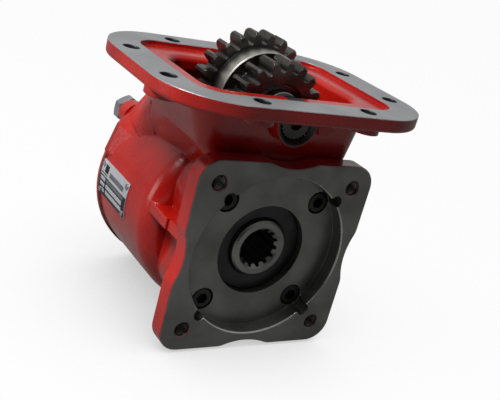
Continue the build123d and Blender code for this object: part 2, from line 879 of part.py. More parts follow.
with BuildPart() as oil_seal:
    lip_r = sleeve_r + running_gap
    turned(
        [
            (seal_front, lip_r + 1.6),
            (seal_front, seal_r - 0.6),
            (seal_front + 0.6, seal_r),
            (seal_back, seal_r),
            (seal_back, seal_r - seal_wall),
            (seal_front + seal_wall, seal_r - seal_wall),
            (seal_front + seal_wall, lip_r + 5),
            (seal_back - 3, lip_r + 3),
            (seal_back - 3, lip_r + 1),
            (seal_back - 4.5, lip_r),
            (seal_front + seal_wall, lip_r + 1.6),
            (seal_front + 1, lip_r),
        ],
        output_x,
        output_z,
    )
finish(oil_seal, "oil_seal")


# Output shaft with its clutch hub
with BuildPart() as output_shaft:
    turned(
        [
            (sleeve_end, 0),
            (sleeve_end, sleeve_r - sleeve_chamfer),
            (sleeve_end + sleeve_chamfer, sleeve_r),
            (front_bearing_back, sleeve_r),
            (front_bearing_back, journal_r),
            (journal_back, journal_r),
            (journal_back, dog_root_r - 0.1),
            (clutch_hub_back, dog_root_r - 0.1),
            (clutch_hub_back, spacer_r),
            (rear_bearing_front, spacer_r),
            (rear_bearing_front, rear_seat_r),
            (rear_bearing_back + 0.1, rear_seat_r),
            (rear_bearing_back + 0.1, shaft_groove_r),
            (rear_bearing_back + 0.1 + shaft_ring_width, shaft_groove_r),
            (rear_bearing_back + 0.1 + shaft_ring_width, rear_seat_r),
            (shaft_back - 1, rear_seat_r),
            (shaft_back, rear_seat_r - 1),
            (shaft_back, 0),
        ],
        output_x,
        output_z,
    )
    hub_teeth = tooth_ring(
        across(clutch_hub_back, output_x, output_z),
        dog_teeth,
        dog_root_r,
        dog_tip_r,
        dog_root_half,
        dog_tip_half,
    )
    extrude(hub_teeth, amount=clutch_hub_back - journal_back)
    spline_cut = tooth_ring(
        across(sleeve_end + spline_length, output_x, output_z),
        spline_teeth,
        spline_inner_r,
        spline_outer_r,
        spline_root_half,
        spline_tip_half,
    )
    extrude(spline_cut, amount=spline_length, mode=Mode.SUBTRACT)
    entry = spline_entry_r - spline_inner_r
    turned(
        [
            (sleeve_end, 0),
            (sleeve_end, spline_entry_r),
            (sleeve_end + entry, spline_inner_r),
            (sleeve_end + entry, 0),
        ],
        output_x,
        output_z,
        Mode.SUBTRACT,
    )
finish(output_shaft, "output_shaft")


def bearing_rings(front, width, bore_r, outer_r, ball_r, ball_count, name):
    """Outer ring, inner ring and balls of a deep-groove ball bearing, each its own node."""
    ball_circle_r = (bore_r + outer_r) / 2
    middle = front + width / 2
    land = ball_r * 0.58
    axis = Location((output_x, middle, output_z), (90, 0, 0))
    with BuildPart() as outer:
        ring(front, front + width, ball_circle_r + land, outer_r, output_x, output_z, 0.8)
        with Locations(axis):
            Torus(ball_circle_r, ball_r + running_gap, mode=Mode.SUBTRACT)
    finish(outer, name + "_bearing_outer")
    with BuildPart() as inner:
        ring(front, front + width, bore_r, ball_circle_r - land, output_x, output_z, 0.4)
        with Locations(axis):
            Torus(ball_circle_r, ball_r + running_gap, mode=Mode.SUBTRACT)
    finish(inner, name + "_bearing_inner")
    with BuildPart() as balls:
        with Locations(across(middle, output_x, output_z)):
            with PolarLocations(ball_circle_r, ball_count):
                Sphere(ball_r)
    finish(balls, name + "_bearing_balls")


bearing_rings(
    front_bearing_front,
    front_bearing_width,
    sleeve_r,
    front_bearing_r,
    front_ball_r,
    front_ball_count,
    "front",
)
bearing_rings(
    rear_bearing_front,
    rear_bearing_width,
    rear_seat_r,
    rear_bearing_r,
    rear_ball_r,
    rear_ball_count,
    "rear",
)

with BuildPart() as rear_shaft_ring:
    start = rear_bearing_back + 0.1
    with BuildSketch(across(start + shaft_ring_width, output_x, output_z)):
        Circle(shaft_ring_r)
        Circle(shaft_groove_r, mode=Mode.SUBTRACT)
        with Locations((0, shaft_ring_r)):
            Rectangle(shaft_groove_r / 2, shaft_groove_r, mode=Mode.SUBTRACT)
    extrude(amount=shaft_ring_width)
finish(rear_shaft_ring, "rear_shaft_ring")

front_washer_back = front_bearing_back + end_play + front_washer_thick
with BuildPart() as front_washer:
    ring(front_washer_back - front_washer_thick, front_washer_back, journal_r, washer_r, output_x, output_z)
finish(front_washer, "front_washer")

rear_washer_back = journal_back - running_gap
with BuildPart() as rear_washer:
    ring(rear_washer_back - rear_washer_thick, rear_washer_back, journal_r, washer_r, output_x, output_z)
finish(rear_washer, "rear_washer")


# Output gear
gear_hub_front = front_washer_back + end_play
with BuildPart() as output_gear:
    extrude(
        gear_sketch(
            across(back_gear_back, output_x, output_z),
            output_teeth,
            output_tooth_angle,
            output_shift,
        ),
        amount=back_gear_back - back_gear_front,
    )
    turned(
        [
            (back_gear_front, 0),
            (back_gear_front, output_tip_r - tip_chamfer),
            (back_gear_front + tip_chamfer, output_tip_r),
            (back_gear_back - tip_chamfer, output_tip_r),
            (back_gear_back, output_tip_r - tip_chamfer),
            (back_gear_back, 0),
        ],
        output_x,
        output_z,
        Mode.INTERSECT,
    )
    for start in (back_gear_front, back_gear_back - gear_recess):
        turned(
            [
                (start, gear_recess_inner_r),
                (start, gear_rim_inner_r),
                (start + gear_recess, gear_rim_inner_r),
                (start + gear_recess, gear_recess_inner_r),
            ],
            output_x,
            output_z,
            Mode.SUBTRACT,
        )
    disc(gear_hub_front, gear_hub_back, dog_root_r - 0.1, output_x, output_z)
    dog_ring = tooth_ring(
        across(gear_hub_back, output_x, output_z),
        dog_teeth,
        dog_root_r,
        dog_tip_r,
        dog_root_half,
        dog_tip_half,
    )
    extrude(dog_ring, amount=gear_hub_back - back_gear_back)
    disc(gear_hub_front, gear_hub_back, journal_bore_r, output_x, output_z, Mode.SUBTRACT)
finish(output_gear, "output_gear")

journal_roller_r = (journal_bore_r - journal_r) / 2 - running_gap
with BuildPart() as output_gear_needles:
    with BuildSketch(across(gear_hub_back - 1, output_x, output_z)):
        with PolarLocations((journal_bore_r + journal_r) / 2, journal_roller_count):
            Circle(journal_roller_r)
    extrude(amount=gear_hub_back - gear_hub_front - 2)
finish(output_gear_needles, "output_gear_needles")


# Shift collar
with BuildPart() as shift_collar:
    turned(
        [
            (collar_front, 0),
            (collar_front, collar_r - 1),
            (collar_front + 1, collar_r),
            (groove_front, collar_r),
            (groove_front, groove_r),
            (groove_front + groove_width, groove_r),
            (groove_front + groove_width, collar_r),
            (collar_back - 1, collar_r),
            (collar_back, collar_r - 1),
            (collar_back, 0),
        ],
        output_x,
        output_z,
    )
    collar_cut = tooth_ring(
        across(collar_back, output_x, output_z),
        dog_teeth,
        dog_root_r + dog_clearance,
        dog_tip_r + dog_clearance,
        dog_root_half + dog_clearance,
        dog_tip_half + dog_clearance,
    )
    extrude(collar_cut, amount=collar_back - collar_front, mode=Mode.SUBTRACT)
finish(shift_collar, "shift_collar")

# Shift fork, rod and piston
with BuildPart() as shift_fork:
    fork_front = groove_front + fork_play
    fork_back = groove_front + groove_width - fork_play
    with BuildSketch(tilted(fork_back, output_x, output_z, shift_angle)):
        with BuildLine():
            CenterArc((0, 0), fork_outer_r, -fork_reach, 2 * fork_reach)
            CenterArc((0, 0), groove_r + fork_play, -fork_reach, 2 * fork_reach)
            for side in (-1, 1):
                Line(
                    at_angle(groove_r + fork_play, side * fork_reach),
                    at_angle(fork_outer_r, side * fork_reach),
                )
        make_face()
    extrude(amount=fork_back - fork_front)
    arm_end = shift_circle_r - fork_hub_r + 1
    out_x, out_z = at_angle(1, shift_angle)
    with BuildSketch(Plane(origin=(output_x, 0, output_z), x_dir=(0, 1, 0), z_dir=(out_z, 0, -out_x))):
        with BuildLine():
            Polyline(
                (fork_front, fork_outer_r - 2),
                (fork_back, fork_outer_r - 2),
                (fork_back, fork_arm_inner_r),
                (fork_hub_back, fork_arm_inner_r),
                (fork_hub_back, arm_end),
                (fork_hub_front, arm_end),
                (fork_hub_front, fork_arm_outer_r),
                (fork_front, fork_arm_outer_r),
                close=True,
            )
        make_face()
    extrude(amount=fork_arm_half, both=True)
    disc(fork_hub_front, fork_hub_back, fork_hub_r, shift_x, shift_z)
    disc(fork_hub_front, fork_hub_back, rod_r, shift_x, shift_z, Mode.SUBTRACT)
finish(shift_fork, "shift_fork")

with BuildPart() as shift_rod:
    clip_groove_r = rod_r - clip_groove
    turned(
        [
            (rod_front, 0),
            (rod_front, rod_r - 0.5),
            (rod_front + 0.5, rod_r),
            (fork_hub_front - clip_thick, rod_r),
            (fork_hub_front - clip_thick, clip_groove_r),
            (fork_hub_front, clip_groove_r),
            (fork_hub_front, rod_r),
            (fork_hub_back, rod_r),
            (fork_hub_back, clip_groove_r),
            (fork_hub_back + clip_thick, clip_groove_r),
            (fork_hub_back + clip_thick, rod_r),
            (piston_front, rod_r),
            (piston_front, rod_nose_r),
            (piston_back, rod_nose_r),
            (piston_back, 0),
        ],
        shift_x,
        shift_z,
    )
finish(shift_rod, "shift_rod")

with BuildPart() as fork_clips:
    for start in (fork_hub_front - clip_thick, fork_hub_back):
        with BuildSketch(across(start + clip_thick, shift_x, shift_z)):
            Circle(clip_r)
            Circle(clip_groove_r, mode=Mode.SUBTRACT)
            with Locations((clip_r, 0)):
                Rectangle(2 * clip_r, clip_groove_r, mode=Mode.SUBTRACT)
        extrude(amount=clip_thick)
finish(fork_clips, "fork_clips")

with BuildPart() as shift_piston:
    piston_r = cylinder_bore_r - running_gap
    seal_groove_r = piston_r - 1.2
    turned(
        [
            (piston_front, rod_nose_r),
            (piston_front, piston_r - 0.4),
            (piston_front + 0.4, piston_r),
            (piston_front + 1.6, piston_r),
            (piston_front + 1.6, seal_groove_r),
            (piston_back - 1.6, seal_groove_r),
            (piston_back - 1.6, piston_r),
            (piston_back - 0.4, piston_r),
            (piston_back, piston_r - 0.4),
            (piston_back, rod_nose_r),
        ],
        shift_x,
        shift_z,
    )
finish(shift_piston, "shift_piston")

with BuildPart() as piston_seal:
    ring(piston_front + 1.65, piston_back - 1.65, seal_groove_r, piston_r, shift_x, shift_z, 0.3)
finish(piston_seal, "piston_seal")

with BuildPart() as return_spring:
    spring_front = cylinder_front + spring_wire_r
    spring_back = piston_front - spring_wire_r
    spring_length = spring_back - spring_front
    with BuildLine() as coil:
        Helix(
            pitch=spring_length / spring_turns,
            height=spring_length,
            radius=spring_r,
            center=(shift_x, spring_front, shift_z),
            direction=(0, 1, 0),
        )
    with BuildSketch(Plane(origin=coil.line @ 0, z_dir=coil.line % 0)):
        Circle(spring_wire_r)
    sweep(path=coil.line)
finish(return_spring, "return_spring")

with BuildPart() as shift_cap:
    cap_face = shift_boss_back + cap_washer_thick
    with BuildSketch(across(cap_back, shift_x, shift_z)):
        RegularPolygon(cap_flats / 2, 6, major_radius=False, rotation=30)
    extrude(amount=cap_back - cap_face)
    corner_r = cap_flats / sqrt(3)
    turned(
        [
            (cap_face, 0),
            (cap_face, corner_r),
            (cap_back - cap_edge, corner_r),
            (cap_back, cap_flats / 2 - 0.4),
            (cap_back, 0),
        ],
        shift_x,
        shift_z,
        Mode.INTERSECT,
    )
    disc(shift_boss_back - cap_thread_length, cap_face, cap_thread_r - running_gap, shift_x, shift_z)
    disc(shift_boss_back - cap_thread_length, piston_back, cylinder_bore_r, shift_x, shift_z, Mode.SUBTRACT)
    disc(piston_back, cap_back, air_port_r, shift_x, shift_z, Mode.SUBTRACT)
finish(shift_cap, "shift_cap")

with BuildPart() as cap_washer:
    with BuildSketch(across(cap_face, shift_x, shift_z)):
        Circle(shift_boss_r - 0.4)
        Circle(cap_thread_r, mode=Mode.SUBTRACT)
    extrude(amount=cap_washer_thick)
finish(cap_washer, "cap_washer")


# Rear cover
with BuildPart() as rear_cover:
    disc(cover_front, cover_back, rim_r, output_x, output_z)
    extrude(shoulder_outline(cover_back, 1.0), amount=cover_back - cover_front)
    chamfer(rear_cover.faces().sort_by(Axis.Y)[-1].edges(), cover_edge)
    disc(barrel_back - cover_spigot, cover_front, barrel_lip_r - 0.2, output_x, output_z)
    # The spigot stands back from the fork's arm
    with BuildSketch(tilted(cover_front, output_x, output_z, shift_angle)):
        with Locations(((rear_bearing_r + bearing_wall + shift_circle_r) / 2, 0)):
            Rectangle(shift_circle_r - rear_bearing_r - bearing_wall, 2 * pocket_r)
    extrude(amount=cover_front - barrel_back + cover_spigot, mode=Mode.SUBTRACT)
    disc(rear_bearing_front, cover_front, rear_bearing_r + bearing_wall, output_x, output_z)
    disc(guide_front, cover_front, guide_r, shift_x, shift_z)
    disc(cover_back, shift_boss_back, shift_boss_r, shift_x, shift_z)
    disc(rear_bearing_front, rear_bearing_back, rear_bearing_r, output_x, output_z, Mode.SUBTRACT)
    disc(
        rear_bearing_back,
        rear_bearing_back + cover_recess,
        cover_recess_r,
        output_x,
        output_z,
        Mode.SUBTRACT,
    )
    disc(guide_front, cylinder_front, rod_r + running_gap, shift_x, shift_z, Mode.SUBTRACT)
    disc(cylinder_front, shift_boss_back, cylinder_bore_r, shift_x, shift_z, Mode.SUBTRACT)
    disc(
        shift_boss_back - cap_thread_length,
        shift_boss_back,
        cap_thread_r,
        shift_x,
        shift_z,
        Mode.SUBTRACT,
    )
    for hole_x, hole_z in cover_screw_places:
        disc(
            cover_front,
            cover_back,
            cover_screw_r + cover_screw_play,
            output_x + hole_x,
            output_z + hole_z,
            Mode.SUBTRACT,
        )
finish(rear_cover, "rear_cover")

with BuildPart() as cover_gasket:
    disc(barrel_back, cover_front, rim_r, output_x, output_z)
    extrude(shoulder_outline(cover_front, 1.0), amount=cover_gasket_thick)
    disc(barrel_back, cover_front, barrel_lip_r, output_x, output_z, Mode.SUBTRACT)
    disc(barrel_back, cover_front, pocket_r, shift_x, shift_z, Mode.SUBTRACT)
    for hole_x, hole_z in cover_screw_places:
        disc(
            barrel_back,
            cover_front,
            cover_screw_r + cover_screw_play,
            output_x + hole_x,
            output_z + hole_z,
            Mode.SUBTRACT,
        )
finish(cover_gasket, "cover_gasket")

with BuildPart() as cover_screws:
    for hole_x, hole_z in cover_screw_places:
        screw_x = output_x + hole_x
        screw_z = output_z + hole_z
        disc(cover_back - cover_screw_length, cover_back, cover_screw_r, screw_x, screw_z)
        with BuildSketch(across(cover_back + cover_screw_head, screw_x, screw_z)):
            RegularPolygon(cover_screw_flats / 2, 6, major_radius=False)
        extrude(amount=cover_screw_head)
finish(cover_screws, "cover_screws")


# Nameplate bent round the barrel, and its drive pins
plate_mark_outer = barrel_r + plate_mark_thick
with BuildPart() as nameplate:
    with BuildSketch(across(plate_mark_front + plate_mark_length, output_x, output_z)):
        with BuildLine():
            start_angle = plate_mark_angle - half_angle
            CenterArc((0, 0), barrel_r, start_angle, 2 * half_angle)
            CenterArc((0, 0), plate_mark_outer, start_angle, 2 * half_angle)
            for angle in (start_angle, start_angle + 2 * half_angle):
                Line(at_angle(barrel_r, angle), at_angle(plate_mark_outer, angle))
        make_face()
    extrude(amount=plate_mark_length)
    for plane in pin_planes:
        with Locations(plane):
            Cylinder(pin_r + running_gap, 4 * plate_mark_thick, mode=Mode.SUBTRACT)
finish(nameplate, "nameplate")

with BuildPart() as nameplate_pins:
    for plane in pin_planes:
        with Locations(plane.offset(-pin_depth)):
            Cylinder(
                pin_r,
                pin_depth + plate_mark_thick + pin_seat_gap,
                align=(Align.CENTER, Align.CENTER, Align.MIN),
            )
        with Locations(plane.offset(plate_mark_thick + pin_seat_gap)):
            Cylinder(pin_head_r, pin_head, align=(Align.CENTER, Align.CENTER, Align.MIN))
finish(nameplate_pins, "nameplate_pins")
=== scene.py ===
"""Looks of a power take off unit: finishes, small added pieces, floor, lamps and camera."""

import json
import logging
from dataclasses import dataclass
from enum import Enum
from math import pi, radians

import bpy
import numpy as np
from mathutils import Matrix, Vector


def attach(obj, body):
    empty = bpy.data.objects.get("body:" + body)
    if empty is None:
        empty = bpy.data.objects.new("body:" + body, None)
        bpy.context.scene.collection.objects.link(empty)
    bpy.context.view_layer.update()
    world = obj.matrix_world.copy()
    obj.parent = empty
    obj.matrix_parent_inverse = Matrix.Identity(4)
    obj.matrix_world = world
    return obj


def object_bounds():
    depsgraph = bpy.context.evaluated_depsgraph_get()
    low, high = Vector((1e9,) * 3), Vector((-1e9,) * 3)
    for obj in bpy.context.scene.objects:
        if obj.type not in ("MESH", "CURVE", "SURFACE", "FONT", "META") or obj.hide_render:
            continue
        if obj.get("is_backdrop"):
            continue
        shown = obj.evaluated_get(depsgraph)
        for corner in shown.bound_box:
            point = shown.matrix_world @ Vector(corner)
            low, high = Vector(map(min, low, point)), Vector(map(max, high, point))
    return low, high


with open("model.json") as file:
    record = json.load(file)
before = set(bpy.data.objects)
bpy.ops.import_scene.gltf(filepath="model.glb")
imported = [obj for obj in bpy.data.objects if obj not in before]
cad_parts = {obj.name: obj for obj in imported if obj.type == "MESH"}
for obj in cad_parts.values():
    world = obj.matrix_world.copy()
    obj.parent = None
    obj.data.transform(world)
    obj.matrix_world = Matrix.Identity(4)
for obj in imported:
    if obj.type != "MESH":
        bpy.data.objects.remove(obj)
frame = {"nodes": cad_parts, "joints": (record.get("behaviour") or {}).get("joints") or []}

Socket = bpy.types.NodeSocket
Value = float | Socket
Colour = tuple[float, float, float]
Range = tuple[float, float]

log = logging.getLogger("power_take_off")


class Lay(Enum):
    """Direction of the tool marks on a metal surface."""

    TURNED = "rings about an axis along the shafts"
    MILLED = "wide arcs left by a face mill"
    GROUND = "fine random scratches"


@dataclass(frozen=True)
class ShaftLine:
    """A line along Y, given by where it crosses the X-Z plane, in metres."""

    x: float
    z: float


def joint_line(name: str) -> ShaftLine:
    """Line of a joint that turns about an axis along Y.

    Args:
        name: Name of the joint in the frame.

    Returns:
        Where its axis crosses the X-Z plane.
    """
    joint = next(joint for joint in frame["joints"] if joint["name"] == name)
    return ShaftLine(joint["pos_m"][0], joint["pos_m"][2])


IDLER_LINE = joint_line("idler_spin")
OUTPUT_LINE = joint_line("output_spin")
SHIFT_LINE = ShaftLine(-0.0440, -0.0735)

# Offset of the pump's tapped holes from the output shaft line, along X and along Z
PUMP_HOLE_OFFSET = 0.05724

# Where an uneven noise, about 0.5 on average, starts and stops its smooth step
UNEVEN: Range = (0.3, 0.7)

# Tool marks: cells per metre and size of their shake, stretch of scratches, centre of milled arcs
SHAKE_CELLS = 35.0
SHAKE_RADIANS = 3.0
SCRATCH_STRETCH: Colour = (1.0, 0.06, 1.0)
MILL_CENTRE: Range = (-0.16, -0.03)


class Graph:
    """Shader nodes of one material, made by calls that return sockets."""

    def __init__(self, name: str) -> None:
        """Start a material with a principled shader and Object coordinates.

        Args:
            name: Name of the material.
        """
        self.material = bpy.data.materials.new(name)
        self.material.use_nodes = True
        self.tree = self.material.node_tree
        self.tree.nodes.clear()
        output = self.tree.nodes.new("ShaderNodeOutputMaterial")
        self.shader = self.tree.nodes.new("ShaderNodeBsdfPrincipled")
        self.tree.links.new(self.shader.outputs[0], output.inputs[0])
        self.place = self.tree.nodes.new("ShaderNodeTexCoord").outputs["Object"]
        split = self.tree.nodes.new("ShaderNodeSeparateXYZ")
        self.tree.links.new(self.place, split.inputs[0])
        self.x, self.y, self.z = split.outputs

    def feed(self, socket: Socket, value: Value | Colour) -> None:
        """Link a socket to an input, or set the input to a constant.

        Args:
            socket: Input socket.
            value: Output socket, number or colour.
        """
        if isinstance(value, bpy.types.NodeSocket):
            self.tree.links.new(value, socket)
        elif isinstance(value, tuple):
            socket.default_value = (*value, 1.0) if len(socket.default_value) == 4 else value
        else:
            socket.default_value = value

    def math(self, operation: str, a: Value, b: Value = 0.0, c: Value = 0.0) -> Socket:
        """Add a math node.

        Args:
            operation: Blender's name of the operation.
            a: First operand.
            b: Second operand.
            c: Third operand, where the operation has one.

        Returns:
            The result's socket.
        """
        node = self.tree.nodes.new("ShaderNodeMath")
        node.operation = operation
        for socket, value in zip(node.inputs, (a, b, c)):
            self.feed(socket, value)
        return node.outputs[0]

    def step(self, value: Value, edges: Range, ends: Range = (0.0, 1.0)) -> Socket:
        """Smooth step of a value from one end to the other between two edges.

        Args:
            value: What is stepped.
            edges: Where the step starts and stops.
            ends: Result before and after the step.

        Returns:
            The result's socket.
        """
        node = self.tree.nodes.new("ShaderNodeMapRange")
        node.interpolation_type = "SMOOTHSTEP"
        for socket, number in zip(node.inputs, (value, *edges, *ends)):
            self.feed(socket, number)
        return node.outputs[0]

    def mix(self, share: Value, a: Value | Colour, b: Value | Colour) -> Socket:
        """Mix two colours.

        Args:
            share: Share of the second colour.
            a: First colour.
            b: Second colour.

        Returns:
            The mixed colour's socket.
        """
        node = self.tree.nodes.new("ShaderNodeMix")
        node.data_type = "RGBA"
        self.feed(node.inputs[0], share)
        self.feed(node.inputs[6], a)
        self.feed(node.inputs[7], b)
        return node.outputs[2]

    def between(self, share: Value, a: Value, b: Value) -> Socket:
        """Mix two numbers: a plus share times b less a."""
        return self.math("MULTIPLY_ADD", share, self.math("SUBTRACT", b, a), a)

    def noise(self, scale: float, detail: float = 3.0, stretch: Colour = (1.0, 1.0, 1.0)) -> Socket:
        """Cloudy noise over the piece.

        Args:
            scale: Cells per metre.
            detail: Octaves of finer noise.
            stretch: Factors on the three coordinates before the noise.

        Returns:
            Socket of the noise, about 0.5 on average.
        """
        mapping = self.tree.nodes.new("ShaderNodeMapping")
        self.feed(mapping.inputs["Vector"], self.place)
        self.feed(mapping.inputs["Scale"], stretch)
        node = self.tree.nodes.new("ShaderNodeTexNoise")
        self.feed(node.inputs["Vector"], mapping.outputs[0])
        self.feed(node.inputs["Scale"], scale)
        self.feed(node.inputs["Detail"], detail)
        return node.outputs[0]

    def distance(self, a: Value, b: Value, centre: Range) -> Socket:
        """Distance in a plane from a centre: root of the sum of the squared offsets.

        Args:
            a: First coordinate.
            b: Second coordinate.
            centre: The centre's two coordinates.

        Returns:
            The distance's socket.
        """
        da = self.math("SUBTRACT", a, centre[0])
        db = self.math("SUBTRACT", b, centre[1])
        return self.math("SQRT", self.math("MULTIPLY_ADD", da, da, self.math("MULTIPLY", db, db)))

    def radius(self, line: ShaftLine) -> Socket:
        """Distance from a shaft line."""
        return self.distance(self.x, self.z, (line.x, line.z))

    def marks(self, lay: Lay, line: ShaftLine, pitch: float) -> Socket:
        """Height of tool marks: a sine of the distance across them, shaken by noise.

        Args:
            lay: Direction of the marks.
            line: Axis of turned marks.
            pitch: Distance between marks, in metres.

        Returns:
            Socket of the height, from 0 to 1.
        """
        shake = self.math("MULTIPLY", self.noise(SHAKE_CELLS, 4.0), SHAKE_RADIANS)
        if lay is Lay.GROUND:
            return self.noise(1.0 / pitch, 5.0, SCRATCH_STRETCH)
        if lay is Lay.TURNED:
            across = self.radius(line)
        else:
            across = self.distance(self.x, self.y, MILL_CENTRE)
        wave = self.math("SINE", self.math("MULTIPLY_ADD", across, 2.0 * pi / pitch, shake))
        return self.math("MULTIPLY_ADD", wave, 0.5, 0.5)


@dataclass
class Look:
    """What a finish feeds into the shader."""

    colour: Value | Colour
    roughness: Value
    metallic: Value
    height: Socket
    relief: float
    coat: Value = 0.0

    def over(self, graph: Graph, other: "Look", mask: Socket) -> "Look":
        """This look where the mask is 1, and the other one where it is 0.

        Args:
            graph: Material that both looks belong to.
            other: Look under the mask.
            mask: Share of this look.

        Returns:
            The mixed look.
        """
        return Look(
            graph.mix(mask, other.colour, self.colour),
            graph.between(mask, other.roughness, self.roughness),
            graph.between(mask, other.metallic, self.metallic),
            graph.between(
                mask,
                graph.math("MULTIPLY", other.height, other.relief),
                graph.math("MULTIPLY", self.height, self.relief),
            ),
            1.0,
            graph.between(mask, other.coat, self.coat),
        )


@dataclass(frozen=True)
class Finish:
    """A surface finish: its name, the edge radius that light sees, and its clear coat."""

    name: str
    edge: float = 0.0004
    edge_samples: int = 6
    coat_roughness: float = 0.08

    def look(self, graph: Graph) -> Look:
        """Wire this finish's colour, roughness and relief.

        Args:
            graph: Material to wire in.

        Returns:
            The look.
        """
        raise NotImplementedError

    def material(self) -> bpy.types.Material:
        """Build the material.

        Returns:
            The finished material.
        """
        graph = Graph(self.name)
        look = self.look(graph)
        shader = graph.shader
        graph.feed(shader.inputs["Base Color"], look.colour)
        graph.feed(shader.inputs["Roughness"], look.roughness)
        graph.feed(shader.inputs["Metallic"], look.metallic)
        graph.feed(shader.inputs["Coat Weight"], look.coat)
        shader.inputs["Coat Roughness"].default_value = self.coat_roughness
        edge = graph.tree.nodes.new("ShaderNodeBevel")
        edge.samples = self.edge_samples
        edge.inputs["Radius"].default_value = self.edge
        bump = graph.tree.nodes.new("ShaderNodeBump")
        bump.inputs["Strength"].default_value = 1.0
        bump.inputs["Distance"].default_value = look.relief
        graph.feed(bump.inputs["Height"], look.height)
        graph.feed(bump.inputs["Normal"], edge.outputs[0])
        graph.feed(shader.inputs["Normal"], bump.outputs[0])
        return graph.material


@dataclass(frozen=True)
class Metal(Finish):
    """Bare metal with tool marks and an uneven film of oil."""

    bright: Colour = (0.40, 0.39, 0.37)
    dull: Colour = (0.26, 0.25, 0.24)
    smooth: float = 0.26
    rough: float = 0.42
    metallic: float = 0.85
    lay: Lay = Lay.GROUND
    line: ShaftLine = OUTPUT_LINE
    pitch: float = 0.0006
    relief: float = 0.000006
    mark_tint: float = 0.10
    cloud_cells: float = 28.0
    cloud_edges: Range = (0.35, 0.68)
    film_cells: float = 60.0

    def look(self, graph: Graph) -> Look:
        """Two greys and two roughnesses over cloudy noise, with tool marks as relief.

        Args:
            graph: Material to wire in.

        Returns:
            The look.
        """
        cloud = graph.step(graph.noise(self.cloud_cells, 5.0), self.cloud_edges)
        marks = graph.marks(self.lay, self.line, self.pitch)
        colour = graph.mix(cloud, self.bright, self.dull)
        colour = graph.mix(graph.math("MULTIPLY", marks, self.mark_tint), colour, self.dull)
        film = graph.noise(self.film_cells, 4.0)
        roughness = graph.step(film, UNEVEN, (self.smooth, self.rough))
        return Look(colour, roughness, self.metallic, marks, self.relief)


@dataclass(frozen=True)
class Banded(Metal):
    """Metal with one polished band at a distance from a shaft line."""

    band: Range = (0.0332, 0.0354)
    depths: Range = (-0.0054, 0.0079)
    highlight_depths: Range = (-0.0040, 0.0070)
    # Bright end of the band: polished metal with a painted highlight
    polished: Colour = (0.56, 0.54, 0.49)
    shine: float = 0.44
    band_relief: float = 0.4

    def look(self, graph: Graph) -> Look:
        """The metal's look with a polished band, painted brightest at its front as a highlight and
        dull at its back.

        Args:
            graph: Material to wire in.

        Returns:
            The look.
        """
        rest = super().look(graph)
        mask = Ring(self.line, self.band, self.depths).mask(graph)
        # Painted highlight: the band fades from the bright polished colour at its front to the dull
        # colour at its back
        colour = graph.mix(graph.step(graph.y, self.highlight_depths), self.polished, self.dull)
        band = Look(colour, self.shine, 1.0, rest.height, self.relief * self.band_relief)
        return band.over(graph, rest, mask)


@dataclass(frozen=True)
class Slab:
    """Zone between two planes square to one coordinate."""

    coordinate: str
    low: float
    high: float

    def mask(self, graph: Graph) -> Socket:
        """Test the coordinate against both planes.

        Args:
            graph: Material that the zone is in.

        Returns:
            Socket that is 1 inside the zone and 0 outside.
        """
        value = getattr(graph, self.coordinate)
        above = graph.math("GREATER_THAN", value, self.low)
        return graph.math("MULTIPLY", above, graph.math("LESS_THAN", value, self.high))


@dataclass(frozen=True)
class Ring:
    """Zone between two distances from a shaft line, over a stretch of depth."""

    line: ShaftLine
    radii: Range
    depths: Range

    def mask(self, graph: Graph) -> Socket:
        """Test the distance from the line and the depth.

        Args:
            graph: Material that the zone is in.

        Returns:
            Socket that is 1 inside the zone and 0 outside.
        """
        radius = graph.radius(self.line)
        outside = graph.math("GREATER_THAN", radius, self.radii[0])
        inside = graph.math("LESS_THAN", radius, self.radii[1])
        depth = Slab("y", *self.depths).mask(graph)
        return graph.math("MULTIPLY", graph.math("MULTIPLY", outside, inside), depth)


@dataclass(frozen=True)
class MirroredHoles:
    """Round holes at four mirrored places in a plane of two coordinates, through a slab."""

    coordinates: tuple[str, str]
    middle: Range
    offset: Range
    radius: float
    through: Slab

    def mask(self, graph: Graph) -> Socket:
        """Fold both coordinates about the middle, and test the distance from one centre.

        Args:
            graph: Material that the zone is in.

        Returns:
            Socket that is 1 inside the zone and 0 outside.
        """
        folded = []
        for name, centre in zip(self.coordinates, self.middle):
            value = getattr(graph, name)
            folded.append(graph.math("ABSOLUTE", graph.math("SUBTRACT", value, centre)))
        inside = graph.math("LESS_THAN", graph.distance(*folded, self.offset), self.radius)
        return graph.math("MULTIPLY", inside, self.through.mask(graph))


Zone = Slab | Ring | MirroredHoles


@dataclass(frozen=True)
class Bare:
    """A zone of a casting that is machined or rubbed bare, and the metal it shows."""

    zone: Zone
    metal: Metal


